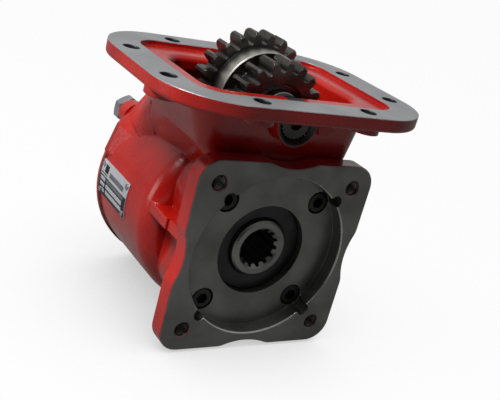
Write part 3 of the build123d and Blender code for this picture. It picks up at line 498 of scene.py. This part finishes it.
@dataclass(frozen=True)
class Enamel(Finish):
    """Glossy enamel over a rough casting, with machined zones left bare."""

    fresh: Colour = (0.62, 0.014, 0.006)
    deep: Colour = (0.42, 0.007, 0.004)
    gloss: Range = (0.20, 0.34)
    coat: float = 0.25
    grain: float = 0.00016
    tone_cells: float = 16.0
    tone_edges: Range = (0.32, 0.66)
    run_cells: float = 90.0
    run_stretch: Colour = (1.0, 1.0, 0.18)
    run_edges: Range = (0.56, 0.78)
    run_share: float = 0.35
    skin_cells: float = 260.0
    pit_cells: float = 620.0
    pit_edges: Range = (0.62, 0.80)
    pit_depth: float = 0.35
    gloss_cells: float = 45.0
    bares: tuple[Bare, ...] = ()

    def look(self, graph: Graph) -> Look:
        """Enamel in two reds over a pitted casting skin, and bare metal in the zones.

        Args:
            graph: Material to wire in.

        Returns:
            The look.
        """
        tone = graph.step(graph.noise(self.tone_cells, 4.0), self.tone_edges)
        runs = graph.step(graph.noise(self.run_cells, 3.0, self.run_stretch), self.run_edges)
        colour = graph.mix(tone, self.fresh, self.deep)
        colour = graph.mix(graph.math("MULTIPLY", runs, self.run_share), colour, self.deep)
        skin = graph.noise(self.skin_cells, 5.0)
        pits = graph.step(
            graph.noise(self.pit_cells, 2.0), self.pit_edges, (0.0, -self.pit_depth)
        )
        height = graph.math("ADD", skin, pits)
        roughness = graph.step(graph.noise(self.gloss_cells, 3.0), UNEVEN, self.gloss)
        look = Look(colour, roughness, 0.0, height, self.grain, self.coat)
        looks: dict[str, Look] = {}
        for bare in self.bares:
            if bare.metal.name not in looks:
                looks[bare.metal.name] = bare.metal.look(graph)
            look = looks[bare.metal.name].over(graph, look, bare.zone.mask(graph))
        return look


@dataclass(frozen=True)
class Plain(Finish):
    """Unpolished non-metal, such as rubber, paper or printing ink, with a fine grain."""

    light: Colour = (0.05, 0.05, 0.05)
    dark: Colour = (0.02, 0.02, 0.02)
    roughness: float = 0.5
    spread: float = 0.08
    cells: float = 400.0
    patches: float = 5.0
    relief: float = 0.00003

    def look(self, graph: Graph) -> Look:
        """Two tones over a fine grain that is also the relief.

        Args:
            graph: Material to wire in.

        Returns:
            The look.
        """
        grain = graph.noise(self.cells, 4.0)
        colour = graph.mix(graph.step(grain, UNEVEN), self.dark, self.light)
        ends = (self.roughness - self.spread, self.roughness + self.spread)
        roughness = graph.step(graph.noise(self.cells / self.patches), UNEVEN, ends)
        return Look(colour, roughness, 0.0, grain, self.relief)


class Shape:
    """Closed surfaces worked out as arrays of points and faces."""

    sharp_from = 35.0

    def __init__(self) -> None:
        """Start with no surface."""
        self.points: list[np.ndarray] = []
        self.faces: list[np.ndarray] = []
        self.count = 0

    def add(self, grid: np.ndarray, endless: bool = True) -> None:
        """Add a surface that closes on itself.

        Faces join each column to the next and the last to the first, and the rows likewise
        where they are endless. Otherwise points that fall together are made one, which closes
        the first and the last row. The signed volume, the sum of the products of each face's
        middle and its normal, tells which way the faces point, and they are turned round
        where it is negative.

        Args:
            grid: Points as an array of rows, columns and three coordinates.
            endless: Whether the last row joins the first.
        """
        rows, columns = grid.shape[:2]
        index = np.arange(rows * columns).reshape(rows, columns)
        below = np.roll(index, -1, axis=0)
        faces = np.stack(
            (index, np.roll(index, -1, axis=1), np.roll(below, -1, axis=1), below), axis=-1
        )
        points = grid.reshape(-1, 3)
        if not endless:
            points, place = np.unique(points.round(8), axis=0, return_inverse=True)
            faces = place.ravel()[faces[:-1]]
        faces = faces.reshape(-1, 4)
        corners = points[faces] - points.mean(axis=0)
        normal = np.cross(corners[:, 2] - corners[:, 0], corners[:, 3] - corners[:, 1])
        if np.einsum("ij,ij->", corners.mean(axis=1), normal) < 0.0:
            faces = faces[:, ::-1]
        self.points.append(points)
        self.faces.append(faces + self.count)
        self.count += len(points)

    def piece(self, name: str, body: str, slot: str, finish: Finish) -> bpy.types.Object:
        """Make the surfaces one piece of the scene.

        Args:
            name: Name of the piece.
            body: CAD body that it moves with.
            slot: Material slot of the record; not used.
            finish: Its finish.

        Returns:
            The object.
        """
        mesh = bpy.data.meshes.new(name)
        points = np.concatenate(self.points)
        faces = np.concatenate(self.faces)
        mesh.from_pydata(points.tolist(), [], faces.tolist())
        mesh.polygons.foreach_set("use_smooth", np.ones(len(mesh.polygons), dtype=bool))
        mesh.validate()
        mesh.materials.append(finish.material())
        obj = bpy.data.objects.new(name, mesh)
        bpy.context.scene.collection.objects.link(obj)
        mesh.set_sharp_from_angle(angle=radians(self.sharp_from))
        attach(obj, body)
        return obj


def turned(profile: np.ndarray, line: ShaftLine, steps: int) -> np.ndarray:
    """Grid of a closed profile carried round a shaft line.

    Each point keeps its depth, and goes round at its own radius: x is the line's x plus
    radius times the cosine of the angle, z the line's z plus radius times the sine.

    Args:
        profile: Closed loop of depth and radius.
        line: The axis.
        steps: Points round the circle.

    Returns:
        Grid of points.
    """
    angle = np.arange(steps) * 2.0 * pi / steps
    depth, radius = profile[:, :1], profile[:, 1:]
    return np.stack(
        (
            line.x + radius * np.cos(angle),
            np.broadcast_to(depth, (len(profile), steps)),
            line.z + radius * np.sin(angle),
        ),
        axis=-1,
    )


@dataclass
class ThreadLining:
    """Tapped threads that line some round holes."""

    name: str
    places: tuple[ShaftLine, ...]
    radius: float
    depths: Range
    pitch: float
    slot: str
    finish: Finish
    turn_points: int = 10
    steps: int = 40
    crest_share: float = 0.54
    flat_share: float = 1.2
    clearance: float = 0.00001

    def build(self) -> bpy.types.Object:
        """Make the linings: the inner radius falls and rises once in each pitch.

        The wave follows depth over pitch less the share of a turn, so that its crests wind
        into the hole, and the outer wall runs straight back to close the lining.

        Returns:
            The object.
        """
        low, high = self.depths
        crest = self.crest_share * self.pitch
        rows = int(round((high - low) / self.pitch * self.turn_points)) + 1
        depth = np.linspace(low, high, rows)[:, None]
        angle = np.arange(self.steps)[None, :] * 2.0 * pi / self.steps
        phase = np.mod(depth / self.pitch - angle / (2.0 * pi), 1.0)
        wave = self.flat_share * (1.0 - 2.0 * np.abs(phase - 0.5))
        inner = self.radius - crest * np.clip(wave, 0.0, 1.0)
        fade = np.clip((depth - low) / self.pitch, 0.0, 1.0)
        inner = (self.radius - 4.0 * self.clearance) * (1.0 - fade) + inner * fade
        outer = np.full((2, self.steps), self.radius - self.clearance)
        radius = np.concatenate((inner, outer))
        depth = np.concatenate((depth, [[high], [low]]))
        shape = Shape()
        for line in self.places:
            x = line.x + radius * np.cos(angle)
            z = line.z + radius * np.sin(angle)
            shape.add(np.stack((x, np.broadcast_to(depth, x.shape), z), axis=-1))
        return shape.piece(self.name, "casing", self.slot, self.finish)


@dataclass
class NeedleCages:
    """Guide rings at both ends of the idler's two rows of needles."""

    line: ShaftLine = IDLER_LINE
    bearings: tuple[Range, ...] = ((-0.0255, -0.0055), (0.0005, 0.0205))
    radii: Range = (0.0149, 0.0165)
    width: float = 0.0013
    round_off: float = 0.0003
    inset: float = 0.0001
    steps: int = 96

    def build(self, finish: Finish) -> bpy.types.Object:
        """Make the rings, each a rounded rectangle carried round the axis.

        Args:
            finish: Finish of the rings.

        Returns:
            The object.
        """
        shape = Shape()
        corner = np.repeat(np.array([[1, 1], [-1, 1], [-1, -1], [1, -1]]), 4, axis=0)
        turn = (np.arange(len(corner)) + 0.5) * 2.0 * pi / len(corner)
        half = np.array([self.width, self.radii[1] - self.radii[0]]) / 2.0 - self.round_off
        bead = self.round_off * np.stack((np.cos(turn), np.sin(turn)), axis=1)
        for front, back in self.bearings:
            for start in (front + self.inset, back - self.width - self.inset):
                middle = np.array([start + self.width / 2.0, sum(self.radii) / 2.0])
                shape.add(turned(middle + corner * half + bead, self.line, self.steps))
        return shape.piece("idler_needle_cages", "idler", "bearing_steel", finish)


@dataclass(frozen=True)
class PlateField:
    """A printed or bare field: depth range and height range, in metres."""

    depths: Range
    heights: Range


@dataclass
class NameplatePrint:
    """Blank printed fields on the nameplate, which is bent round the barrel."""

    line: ShaftLine = OUTPUT_LINE
    radius: float = 0.0758
    thick: float = 0.00007
    corner: float = 0.0007
    edge: float = 0.00005
    sunk: float = 0.02
    corner_rows: int = 5
    across: int = 14
    ink: tuple[PlateField, ...] = (
        PlateField((0.0423, 0.0944), (-0.1367, -0.1206)),
        PlateField((0.0812, 0.0882), (-0.1174, -0.1108)),
        PlateField((0.0812, 0.0941), (-0.1192, -0.1184)),
    )
    bands: tuple[PlateField, ...] = (
        PlateField((0.0470, 0.0815), (-0.1242, -0.1212)),
        PlateField((0.0500, 0.0780), (-0.1182, -0.1142)),
    )
    blanks: tuple[PlateField, ...] = (
        PlateField((0.0484, 0.0815), (-0.1290, -0.1254)),
        PlateField((0.0484, 0.0815), (-0.1342, -0.1306)),
        PlateField((0.0838, 0.0932), (-0.1248, -0.1216)),
        PlateField((0.0838, 0.0932), (-0.1295, -0.1263)),
        PlateField((0.0838, 0.0886), (-0.1342, -0.1310)),
    )

    def slab(self, area: PlateField, base: float) -> np.ndarray:
        """Grid of a field with rounded corners that stands on the plate's surface.

        Each row runs up the field at one depth and back down underneath. Near the ends a
        row's half height is the field's, less the corner radius, plus the root of that
        radius squared less the way into the corner squared. A point's height along the
        plate is an arc, so its angle is that height over the radius.

        Args:
            area: The field.
            base: Height of its foot above the plate.

        Returns:
            Grid of points, its first and last row without thickness.
        """
        half = np.array([np.ptp(area.depths), np.ptp(area.heights)]) / 2.0
        middle = np.array([np.mean(area.depths), np.mean(area.heights)])
        corner = min(self.corner, half.min() * 0.7)
        bend = np.sin(np.linspace(0.0, pi / 2.0, self.corner_rows)) * corner
        depth = half[0] - corner + bend
        depth = np.concatenate((-depth[::-1], depth))
        into = np.clip(np.abs(depth) - half[0] + corner, 0.0, corner)
        reach = half[1] - corner + np.sqrt(np.maximum(corner**2 - into**2, 0.0))
        inner = np.linspace(-1.0, 1.0, self.across)
        loop = np.concatenate(([-1.0], inner, [1.0], inner[::-1]))
        full = np.ones(self.across)
        flat = np.concatenate(([0.0], full, [0.0], full))
        lifted = np.concatenate(([0.0], full, np.zeros(self.across + 1)))
        height = middle[1] + loop * (reach[:, None] - self.edge * flat)
        rise = np.tile(lifted * self.thick, (len(depth), 1))
        rise[[0, -1]] = 0.0
        angle = pi - (height - self.line.z) / self.radius
        radius = self.radius + base + rise
        x = self.line.x + radius * np.cos(angle)
        z = self.line.z + radius * np.sin(angle)
        return np.stack((x, np.broadcast_to(middle[0] + depth[:, None], x.shape), z), axis=-1)

    def build(self, ink: Finish, band: Finish, bare: Finish) -> list[bpy.types.Object]:
        """Make the ink fields, the grey bands and the bare blanks on them.

        Args:
            ink: Finish of the black ink.
            band: Finish of the grey bands.
            bare: Finish of the bare blanks.

        Returns:
            The three objects.
        """
        made = []
        layers = (
            ("nameplate_ink", self.ink, ink, 0.0),
            ("nameplate_bands", self.bands, band, 1.0),
            ("nameplate_blanks", self.blanks, bare, 1.0),
        )
        for name, areas, finish, level in layers:
            shape = Shape()
            for area in areas:
                shape.add(self.slab(area, (level - self.sunk) * self.thick), endless=False)
            made.append(shape.piece(name, "casing", "plate_metal", finish))
        return made


@dataclass
class Finishes:
    """Every finish of the unit, and which CAD nodes wear it."""

    bare_iron: Metal = Metal(
        "machined iron",
        bright=(0.445, 0.45, 0.465),
        dull=(0.375, 0.38, 0.395),
        smooth=0.36,
        rough=0.44,
        metallic=0.7,
        lay=Lay.MILLED,
        pitch=0.0011,
        relief=0.0000022,
    )
    # Painted shade: a darker copy of the machined iron, for the pump flange's face, pilot recess
    # and seal bore, which face away from the light
    shaded_faced_iron: Metal = Metal(
        "faced iron in painted shade",
        bright=(0.25, 0.25, 0.24),
        dull=(0.175, 0.175, 0.168),
        smooth=0.30,
        rough=0.46,
        metallic=0.8,
        lay=Lay.TURNED,
        pitch=0.0008,
        relief=0.0000022,
    )
    # Painted shade: a far darker copy of the machined iron, for the idler boss face under the plate
    # and the insides of the bolt and pump holes
    shaded_boss_iron: Metal = Metal(
        "drilled iron in painted shade",
        bright=(0.10, 0.105, 0.11),
        dull=(0.045, 0.047, 0.05),
        smooth=0.34,
        rough=0.50,
        metallic=0.8,
        lay=Lay.TURNED,
        line=IDLER_LINE,
        pitch=0.0008,
        relief=0.0000022,
    )
    # Painted highlight: a pale ring on the deburred mouth edge of the pump pilot
    edge_highlight: Metal = Metal(
        "broken edge with painted highlight",
        bright=(0.62, 0.62, 0.60),
        dull=(0.42, 0.42, 0.40),
        smooth=0.22,
        rough=0.34,
    )
    gear_steel: Banded = Banded(
        "oily gear steel",
        bright=(0.150, 0.138, 0.126),
        dull=(0.062, 0.057, 0.052),
        smooth=0.22,
        rough=0.40,
        metallic=0.9,
        line=IDLER_LINE,
    )
    dark_steel: Metal = Metal(
        "dark oily steel", bright=(0.16, 0.155, 0.145), dull=(0.08, 0.075, 0.07), metallic=0.9
    )
    shaft_steel: Metal = Metal(
        "turned shaft steel",
        bright=(0.30, 0.30, 0.29),
        dull=(0.20, 0.20, 0.195),
        smooth=0.28,
        rough=0.40,
        lay=Lay.TURNED,
        pitch=0.0007,
    )
    # Painted shade: steel far darker than the turned shaft, for the idler shaft's end deep in its
    # recess under the plate
    shaded_shaft_end: Metal = Metal(
        "shaft end in painted shade",
        bright=(0.09, 0.087, 0.082),
        dull=(0.03, 0.029, 0.028),
        lay=Lay.TURNED,
        line=IDLER_LINE,
        pitch=0.0008,
    )
    race_steel: Metal = Metal(
        "polished bearing steel",
        bright=(0.50, 0.49, 0.47),
        dull=(0.34, 0.33, 0.32),
        smooth=0.12,
        rough=0.24,
        metallic=1.0,
    )
    black_screw: Metal = Metal(
        "black oxide screw",
        bright=(0.045, 0.045, 0.045),
        dull=(0.018, 0.018, 0.018),
        smooth=0.30,
        rough=0.45,
        metallic=0.6,
    )
    spring_steel: Metal = Metal(
        "spring steel", bright=(0.22, 0.21, 0.20), dull=(0.12, 0.12, 0.115), metallic=0.9
    )
    zinc: Metal = Metal(
        "dull zinc",
        bright=(0.46, 0.47, 0.49),
        dull=(0.30, 0.31, 0.33),
        smooth=0.34,
        rough=0.52,
        metallic=0.75,
    )
    bronze: Metal = Metal(
        "bronze",
        bright=(0.52, 0.34, 0.15),
        dull=(0.33, 0.20, 0.09),
        smooth=0.26,
        rough=0.42,
        metallic=0.95,
    )
    plate_metal: Metal = Metal(
        "nameplate metal",
        bright=(0.66, 0.68, 0.72),
        dull=(0.54, 0.56, 0.60),
        smooth=0.36,
        rough=0.46,
        metallic=0.35,
        pitch=0.0004,
    )
    seal_rubber: Plain = Plain(
        "seal rubber", light=(0.012, 0.012, 0.012), dark=(0.006, 0.006, 0.006), roughness=0.42
    )
    gasket_paper: Plain = Plain(
        "gasket paper", light=(0.20, 0.16, 0.12), dark=(0.12, 0.095, 0.07), roughness=0.85
    )
    ink: Plain = Plain(
        "black ink", light=(0.010, 0.010, 0.012), dark=(0.004, 0.004, 0.005), roughness=0.55
    )
    band_grey: Plain = Plain(
        "grey ink", light=(0.17, 0.175, 0.185), dark=(0.10, 0.104, 0.11), roughness=0.55
    )

    def castings(self) -> dict[str, Enamel]:
        """Enamel of the three castings, each with its own machined zones.

        Returns:
            Finish by node name.
        """
        output = (OUTPUT_LINE.x, OUTPUT_LINE.z)
        plate = Slab("z", -0.0140, 0.0100)
        flange = Slab("y", -0.0600, -0.0355)
        mount_face = Slab("z", -0.0004, 0.0100)
        boss_face = Ring(IDLER_LINE, (0.0, 0.0158), (-0.0570, -0.0350))
        inner_boss = Ring(IDLER_LINE, (0.0, 0.0143), (-0.0350, -0.0310))
        side = MirroredHoles(("x", "y"), (0.0, 0.0), (0.09287, 0.03096), 0.0062, plate)
        end = MirroredHoles(("x", "y"), (0.0, 0.0), (0.04366, 0.06826), 0.0062, plate)
        pump_face = Slab("y", -0.0600, -0.0509)
        pilot = Ring(OUTPUT_LINE, (0.0, 0.0700), (-0.0600, -0.0374))
        seal_bore = Ring(OUTPUT_LINE, (0.0, 0.0480), (-0.0600, 0.0))
        pilot_edge = Ring(OUTPUT_LINE, (0.0633, 0.0648), (-0.0513, -0.0500))
        offset = (PUMP_HOLE_OFFSET, PUMP_HOLE_OFFSET)
        pump = MirroredHoles(("x", "z"), output, offset, 0.0058, flange)
        cap_seat = Slab("y", 0.1106, 0.2)
        cover_joint = Slab("y", 0.0, 0.0955)
        return {
            "housing": Enamel(
                "red enamel housing",
                edge=0.0016,
                bares=(
                    Bare(mount_face, self.bare_iron),
                    # The boss faces and the bolt holes wear the darker iron of painted shade
                    Bare(boss_face, self.shaded_boss_iron),
                    Bare(inner_boss, self.shaded_boss_iron),
                    Bare(side, self.shaded_boss_iron),
                    Bare(end, self.shaded_boss_iron),
                ),
            ),
            "pump_flange": Enamel(
                "red enamel flange",
                edge=0.0008,
                bares=(
                    # Face, pilot and seal bore wear the darker iron of painted shade
                    Bare(pump_face, self.shaded_faced_iron),
                    Bare(pilot, self.shaded_faced_iron),
                    Bare(seal_bore, self.shaded_faced_iron),
                    # The pilot's mouth edge wears the painted highlight
                    Bare(pilot_edge, self.edge_highlight),
                    # The pump's tapped holes wear the darker iron of painted shade
                    Bare(pump, self.shaded_boss_iron),
                ),
            ),
            "rear_cover": Enamel(
                "red enamel cover",
                edge=0.0010,
                bares=(
                    Bare(cap_seat, self.bare_iron),
                    Bare(cover_joint, self.bare_iron),
                ),
            ),
        }

    def plan(self) -> dict[str, tuple[Finish, tuple[str, ...]]]:
        """Which CAD nodes wear each of the other finishes.

        Returns:
            Finish and node names, by a short name.
        """
        bearings = tuple(
            f"{end}_bearing_{part}"
            for end in ("front", "rear")
            for part in ("outer", "inner", "balls")
        )
        idler_bearing = (
            "idler_bearing_rings",
            "idler_needles",
            "idler_sleeve",
            "output_gear_needles",
        )
        return {
            "gears": (self.gear_steel, ("idler_gear",)),
            "clutch": (self.dark_steel, ("output_gear", "shift_collar", "idler_snap_rings")),
            "shafts": (self.shaft_steel, ("output_shaft", "shift_rod")),
            "idler_shaft": (self.shaded_shaft_end, ("idler_shaft",)),
            "races": (self.race_steel, bearings + idler_bearing),
            "black": (self.black_screw, ("flange_screws",)),
            "spring": (self.spring_steel, ("return_spring", "fork_clips", "rear_shaft_ring")),
            "zinc": (
                self.zinc,
                (
                    "shift_cap",
                    "cap_washer",
                    "cover_screws",
                    "shaft_plug",
                    "shift_piston",
                    "nameplate_pins",
                ),
            ),
            "bronze": (self.bronze, ("shift_fork", "front_washer", "rear_washer")),
            "plate": (self.plate_metal, ("nameplate",)),
            "rubber": (self.seal_rubber, ("oil_seal", "piston_seal")),
            "paper": (self.gasket_paper, ("flange_gasket", "cover_gasket")),
        }

    @staticmethod
    def put_on(node: str, material: bpy.types.Material) -> None:
        """Fill every material slot of a CAD node's object.

        Args:
            node: Name of the node.
            material: What it wears.
        """
        obj = frame["nodes"][node]
        if not obj.material_slots:
            obj.data.materials.append(material)
        for place in obj.material_slots:
            place.material = material

    def dress(self) -> None:
        """Give every CAD node its finish."""
        for node, finish in self.castings().items():
            self.put_on(node, finish.material())
            log.info("%s wears %s", node, finish.name)
        for finish, nodes in self.plan().values():
            material = finish.material()
            for node in nodes:
                self.put_on(node, material)
                log.info("%s wears %s", node, finish.name)


@dataclass
class Studio:
    """Pale floor, soft lamps, world and camera."""

    floor_half: float = 6.0
    floor_colour: Colour = (0.86, 0.86, 0.86)
    eye: Colour = (-0.34654, -0.50902, 0.13006)
    forward: Colour = (0.54443, 0.76482, -0.34445)
    right: Colour = (0.83848, -0.48487, 0.24868)
    up: Colour = (-0.02318, 0.42421, 0.90527)
    lens: float = 62.48
    floor_bounce: Colour = (0.15, 0.15, 0.15)
    floor_glow: float = 0.96
    mirrored_glow: float = 0.18
    floor_roughness: float = 0.9
    shadow_reach: float = 0.14
    shadow_samples: int = 12
    shadow_ends: Range = (0.55, 1.0)
    room_axis: Colour = (0.35, 0.60, 0.72)
    room_edges: Range = (-0.45, 0.75)
    room_ends: Range = (0.05, 0.50)
    room_light: float = 0.14
    sensor: float = 36.0
    clip: Range = (0.01, 50.0)
    lamps: tuple[tuple[str, Colour, float, float], ...] = (
        ("key", (-0.90, -0.10, 1.15), 0.50, 23.0),
        ("low", (-1.20, 0.35, 0.00), 0.5, 2.0),
    )

    def floor(self) -> bpy.types.Object:
        """Lay the floor just under the unit.

        Returns:
            The floor.
        """
        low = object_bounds()[0][2]
        half = self.floor_half
        corners = np.array([[-1, -1, 0], [1, -1, 0], [1, 1, 0], [-1, 1, 0]]) * half
        corners[:, 2] = low
        mesh = bpy.data.meshes.new("floor")
        mesh.from_pydata(corners.tolist(), [], [(0, 1, 2, 3)])
        graph = Graph("pale floor")
        rays = graph.tree.nodes.new("ShaderNodeLightPath")
        shown = graph.mix(rays.outputs["Is Camera Ray"], self.floor_bounce, self.floor_colour)
        graph.feed(graph.shader.inputs["Base Color"], shown)
        graph.feed(graph.shader.inputs["Roughness"], self.floor_roughness)
        glow = graph.tree.nodes.new("ShaderNodeEmission")
        near = graph.tree.nodes.new("ShaderNodeAmbientOcclusion")
        near.samples = self.shadow_samples
        near.inputs["Distance"].default_value = self.shadow_reach
        shadow = graph.step(near.outputs["AO"], (0.0, 1.0), self.shadow_ends)
        graph.feed(glow.inputs["Strength"], shadow)
        mirrored = graph.math("MULTIPLY", rays.outputs["Is Glossy Ray"], self.mirrored_glow)
        seen = graph.math("MAXIMUM", rays.outputs["Is Camera Ray"], mirrored)
        seen = graph.math("MAXIMUM", seen, rays.outputs["Is Transmission Ray"])
        blend = graph.tree.nodes.new("ShaderNodeMixShader")
        graph.feed(blend.inputs[0], graph.math("MULTIPLY", seen, self.floor_glow))
        graph.feed(blend.inputs[1], graph.shader.outputs[0])
        graph.feed(blend.inputs[2], glow.outputs[0])
        output = next(n for n in graph.tree.nodes if n.type == "OUTPUT_MATERIAL")
        graph.feed(output.inputs[0], blend.outputs[0])
        mesh.materials.append(graph.material)
        obj = bpy.data.objects.new("floor", mesh)
        bpy.context.scene.collection.objects.link(obj)
        obj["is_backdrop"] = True
        return obj

    def world(self) -> None:
        """White background, with a room that is pale behind the unit and dark in front."""
        world = bpy.data.worlds.new("studio")
        world.use_nodes = True
        bpy.context.scene.world = world
        tree = world.node_tree
        background = next(n for n in tree.nodes if n.type == "BACKGROUND")
        rays = tree.nodes.new("ShaderNodeLightPath")
        place = tree.nodes.new("ShaderNodeTexCoord")
        along = tree.nodes.new("ShaderNodeVectorMath")
        along.operation = "DOT_PRODUCT"
        along.inputs[1].default_value = self.room_axis
        tree.links.new(place.outputs["Generated"], along.inputs[0])
        shade = tree.nodes.new("ShaderNodeMapRange")
        shade.interpolation_type = "SMOOTHSTEP"
        for socket, value in zip(shade.inputs[1:5], (*self.room_edges, *self.room_ends)):
            socket.default_value = value
        tree.links.new(along.outputs["Value"], shade.inputs[0])
        dim = tree.nodes.new("ShaderNodeMath")
        dim.operation = "MULTIPLY"
        dim.inputs[1].default_value = self.room_light
        tree.links.new(shade.outputs[0], dim.inputs[0])
        glossy = tree.nodes.new("ShaderNodeMix")
        tree.links.new(rays.outputs["Is Glossy Ray"], glossy.inputs[0])
        tree.links.new(dim.outputs[0], glossy.inputs[2])
        tree.links.new(shade.outputs[0], glossy.inputs[3])
        clear = tree.nodes.new("ShaderNodeMath")
        clear.operation = "MAXIMUM"
        tree.links.new(rays.outputs["Is Camera Ray"], clear.inputs[0])
        tree.links.new(rays.outputs["Is Transmission Ray"], clear.inputs[1])
        strength = tree.nodes.new("ShaderNodeMix")
        tree.links.new(clear.outputs[0], strength.inputs[0])
        tree.links.new(glossy.outputs[0], strength.inputs[2])
        strength.inputs[3].default_value = 1.0
        background.inputs["Color"].default_value = (1.0, 1.0, 1.0, 1.0)
        tree.links.new(strength.outputs[0], background.inputs["Strength"])

    def light(self) -> None:
        """Hang the area lamps, each turned towards the unit's middle."""
        low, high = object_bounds()
        middle = (Vector(low) + Vector(high)) / 2.0
        for name, place, size, power in self.lamps:
            lamp = bpy.data.lights.new(name, "AREA")
            lamp.shape = "SQUARE"
            lamp.size = size
            lamp.energy = power
            obj = bpy.data.objects.new(name, lamp)
            bpy.context.scene.collection.objects.link(obj)
            turn = (Vector(place) - middle).to_track_quat("Z", "Y").to_matrix().to_4x4()
            obj.matrix_world = Matrix.Translation(place) @ turn

    def camera(self) -> None:
        """Set the camera at the photograph's viewing angle."""
        data = bpy.data.cameras.new("camera")
        data.lens = self.lens
        data.sensor_width = self.sensor
        data.clip_start, data.clip_end = self.clip
        obj = bpy.data.objects.new("camera", data)
        bpy.context.scene.collection.objects.link(obj)
        back = tuple(-v for v in self.forward)
        columns = Matrix((self.right, self.up, back)).transposed()
        obj.matrix_world = Matrix.Translation(self.eye) @ columns.to_4x4()
        bpy.context.scene.camera = obj

    def build(self) -> None:
        """Set up everything round the unit."""
        self.floor()
        self.world()
        self.light()
        self.camera()
        bpy.context.scene.view_settings.view_transform = "Standard"
        log.info("studio is set")


def corners_of_four(line: ShaftLine, offset: float) -> tuple[ShaftLine, ...]:
    """Four places at equal offsets to both sides of a shaft line.

    Args:
        line: The middle.
        offset: Distance along each coordinate.

    Returns:
        The places.
    """
    signs = ((-1, -1), (-1, 1), (1, -1), (1, 1))
    return tuple(ShaftLine(line.x + a * offset, line.z + b * offset) for a, b in signs)


def main() -> None:
    """Dress the frame, add the small pieces and light them."""
    logging.basicConfig(level=logging.INFO, format="%(message)s")
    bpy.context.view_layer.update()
    finishes = Finishes()
    finishes.dress()
    linings = (
        ThreadLining(
            "pump_hole_threads",
            corners_of_four(OUTPUT_LINE, PUMP_HOLE_OFFSET),
            0.00536,
            (-0.0500, -0.0362),
            0.00195,
            "gear_steel",
            finishes.dark_steel,
        ),
        ThreadLining(
            "air_port_thread",
            (SHIFT_LINE,),
            0.0044,
            (0.1182, 0.1213),
            0.00094,
            "plug_zinc",
            finishes.zinc,
        ),
    )
    for lining in linings:
        log.info("built %s", lining.build().name)
    log.info("built %s", NeedleCages().build(finishes.dark_steel).name)
    printed = NameplatePrint().build(finishes.ink, finishes.band_grey, finishes.plate_metal)
    for piece in printed:
        log.info("built %s", piece.name)
    Studio().build()


if __name__ == "__main__":
    main()
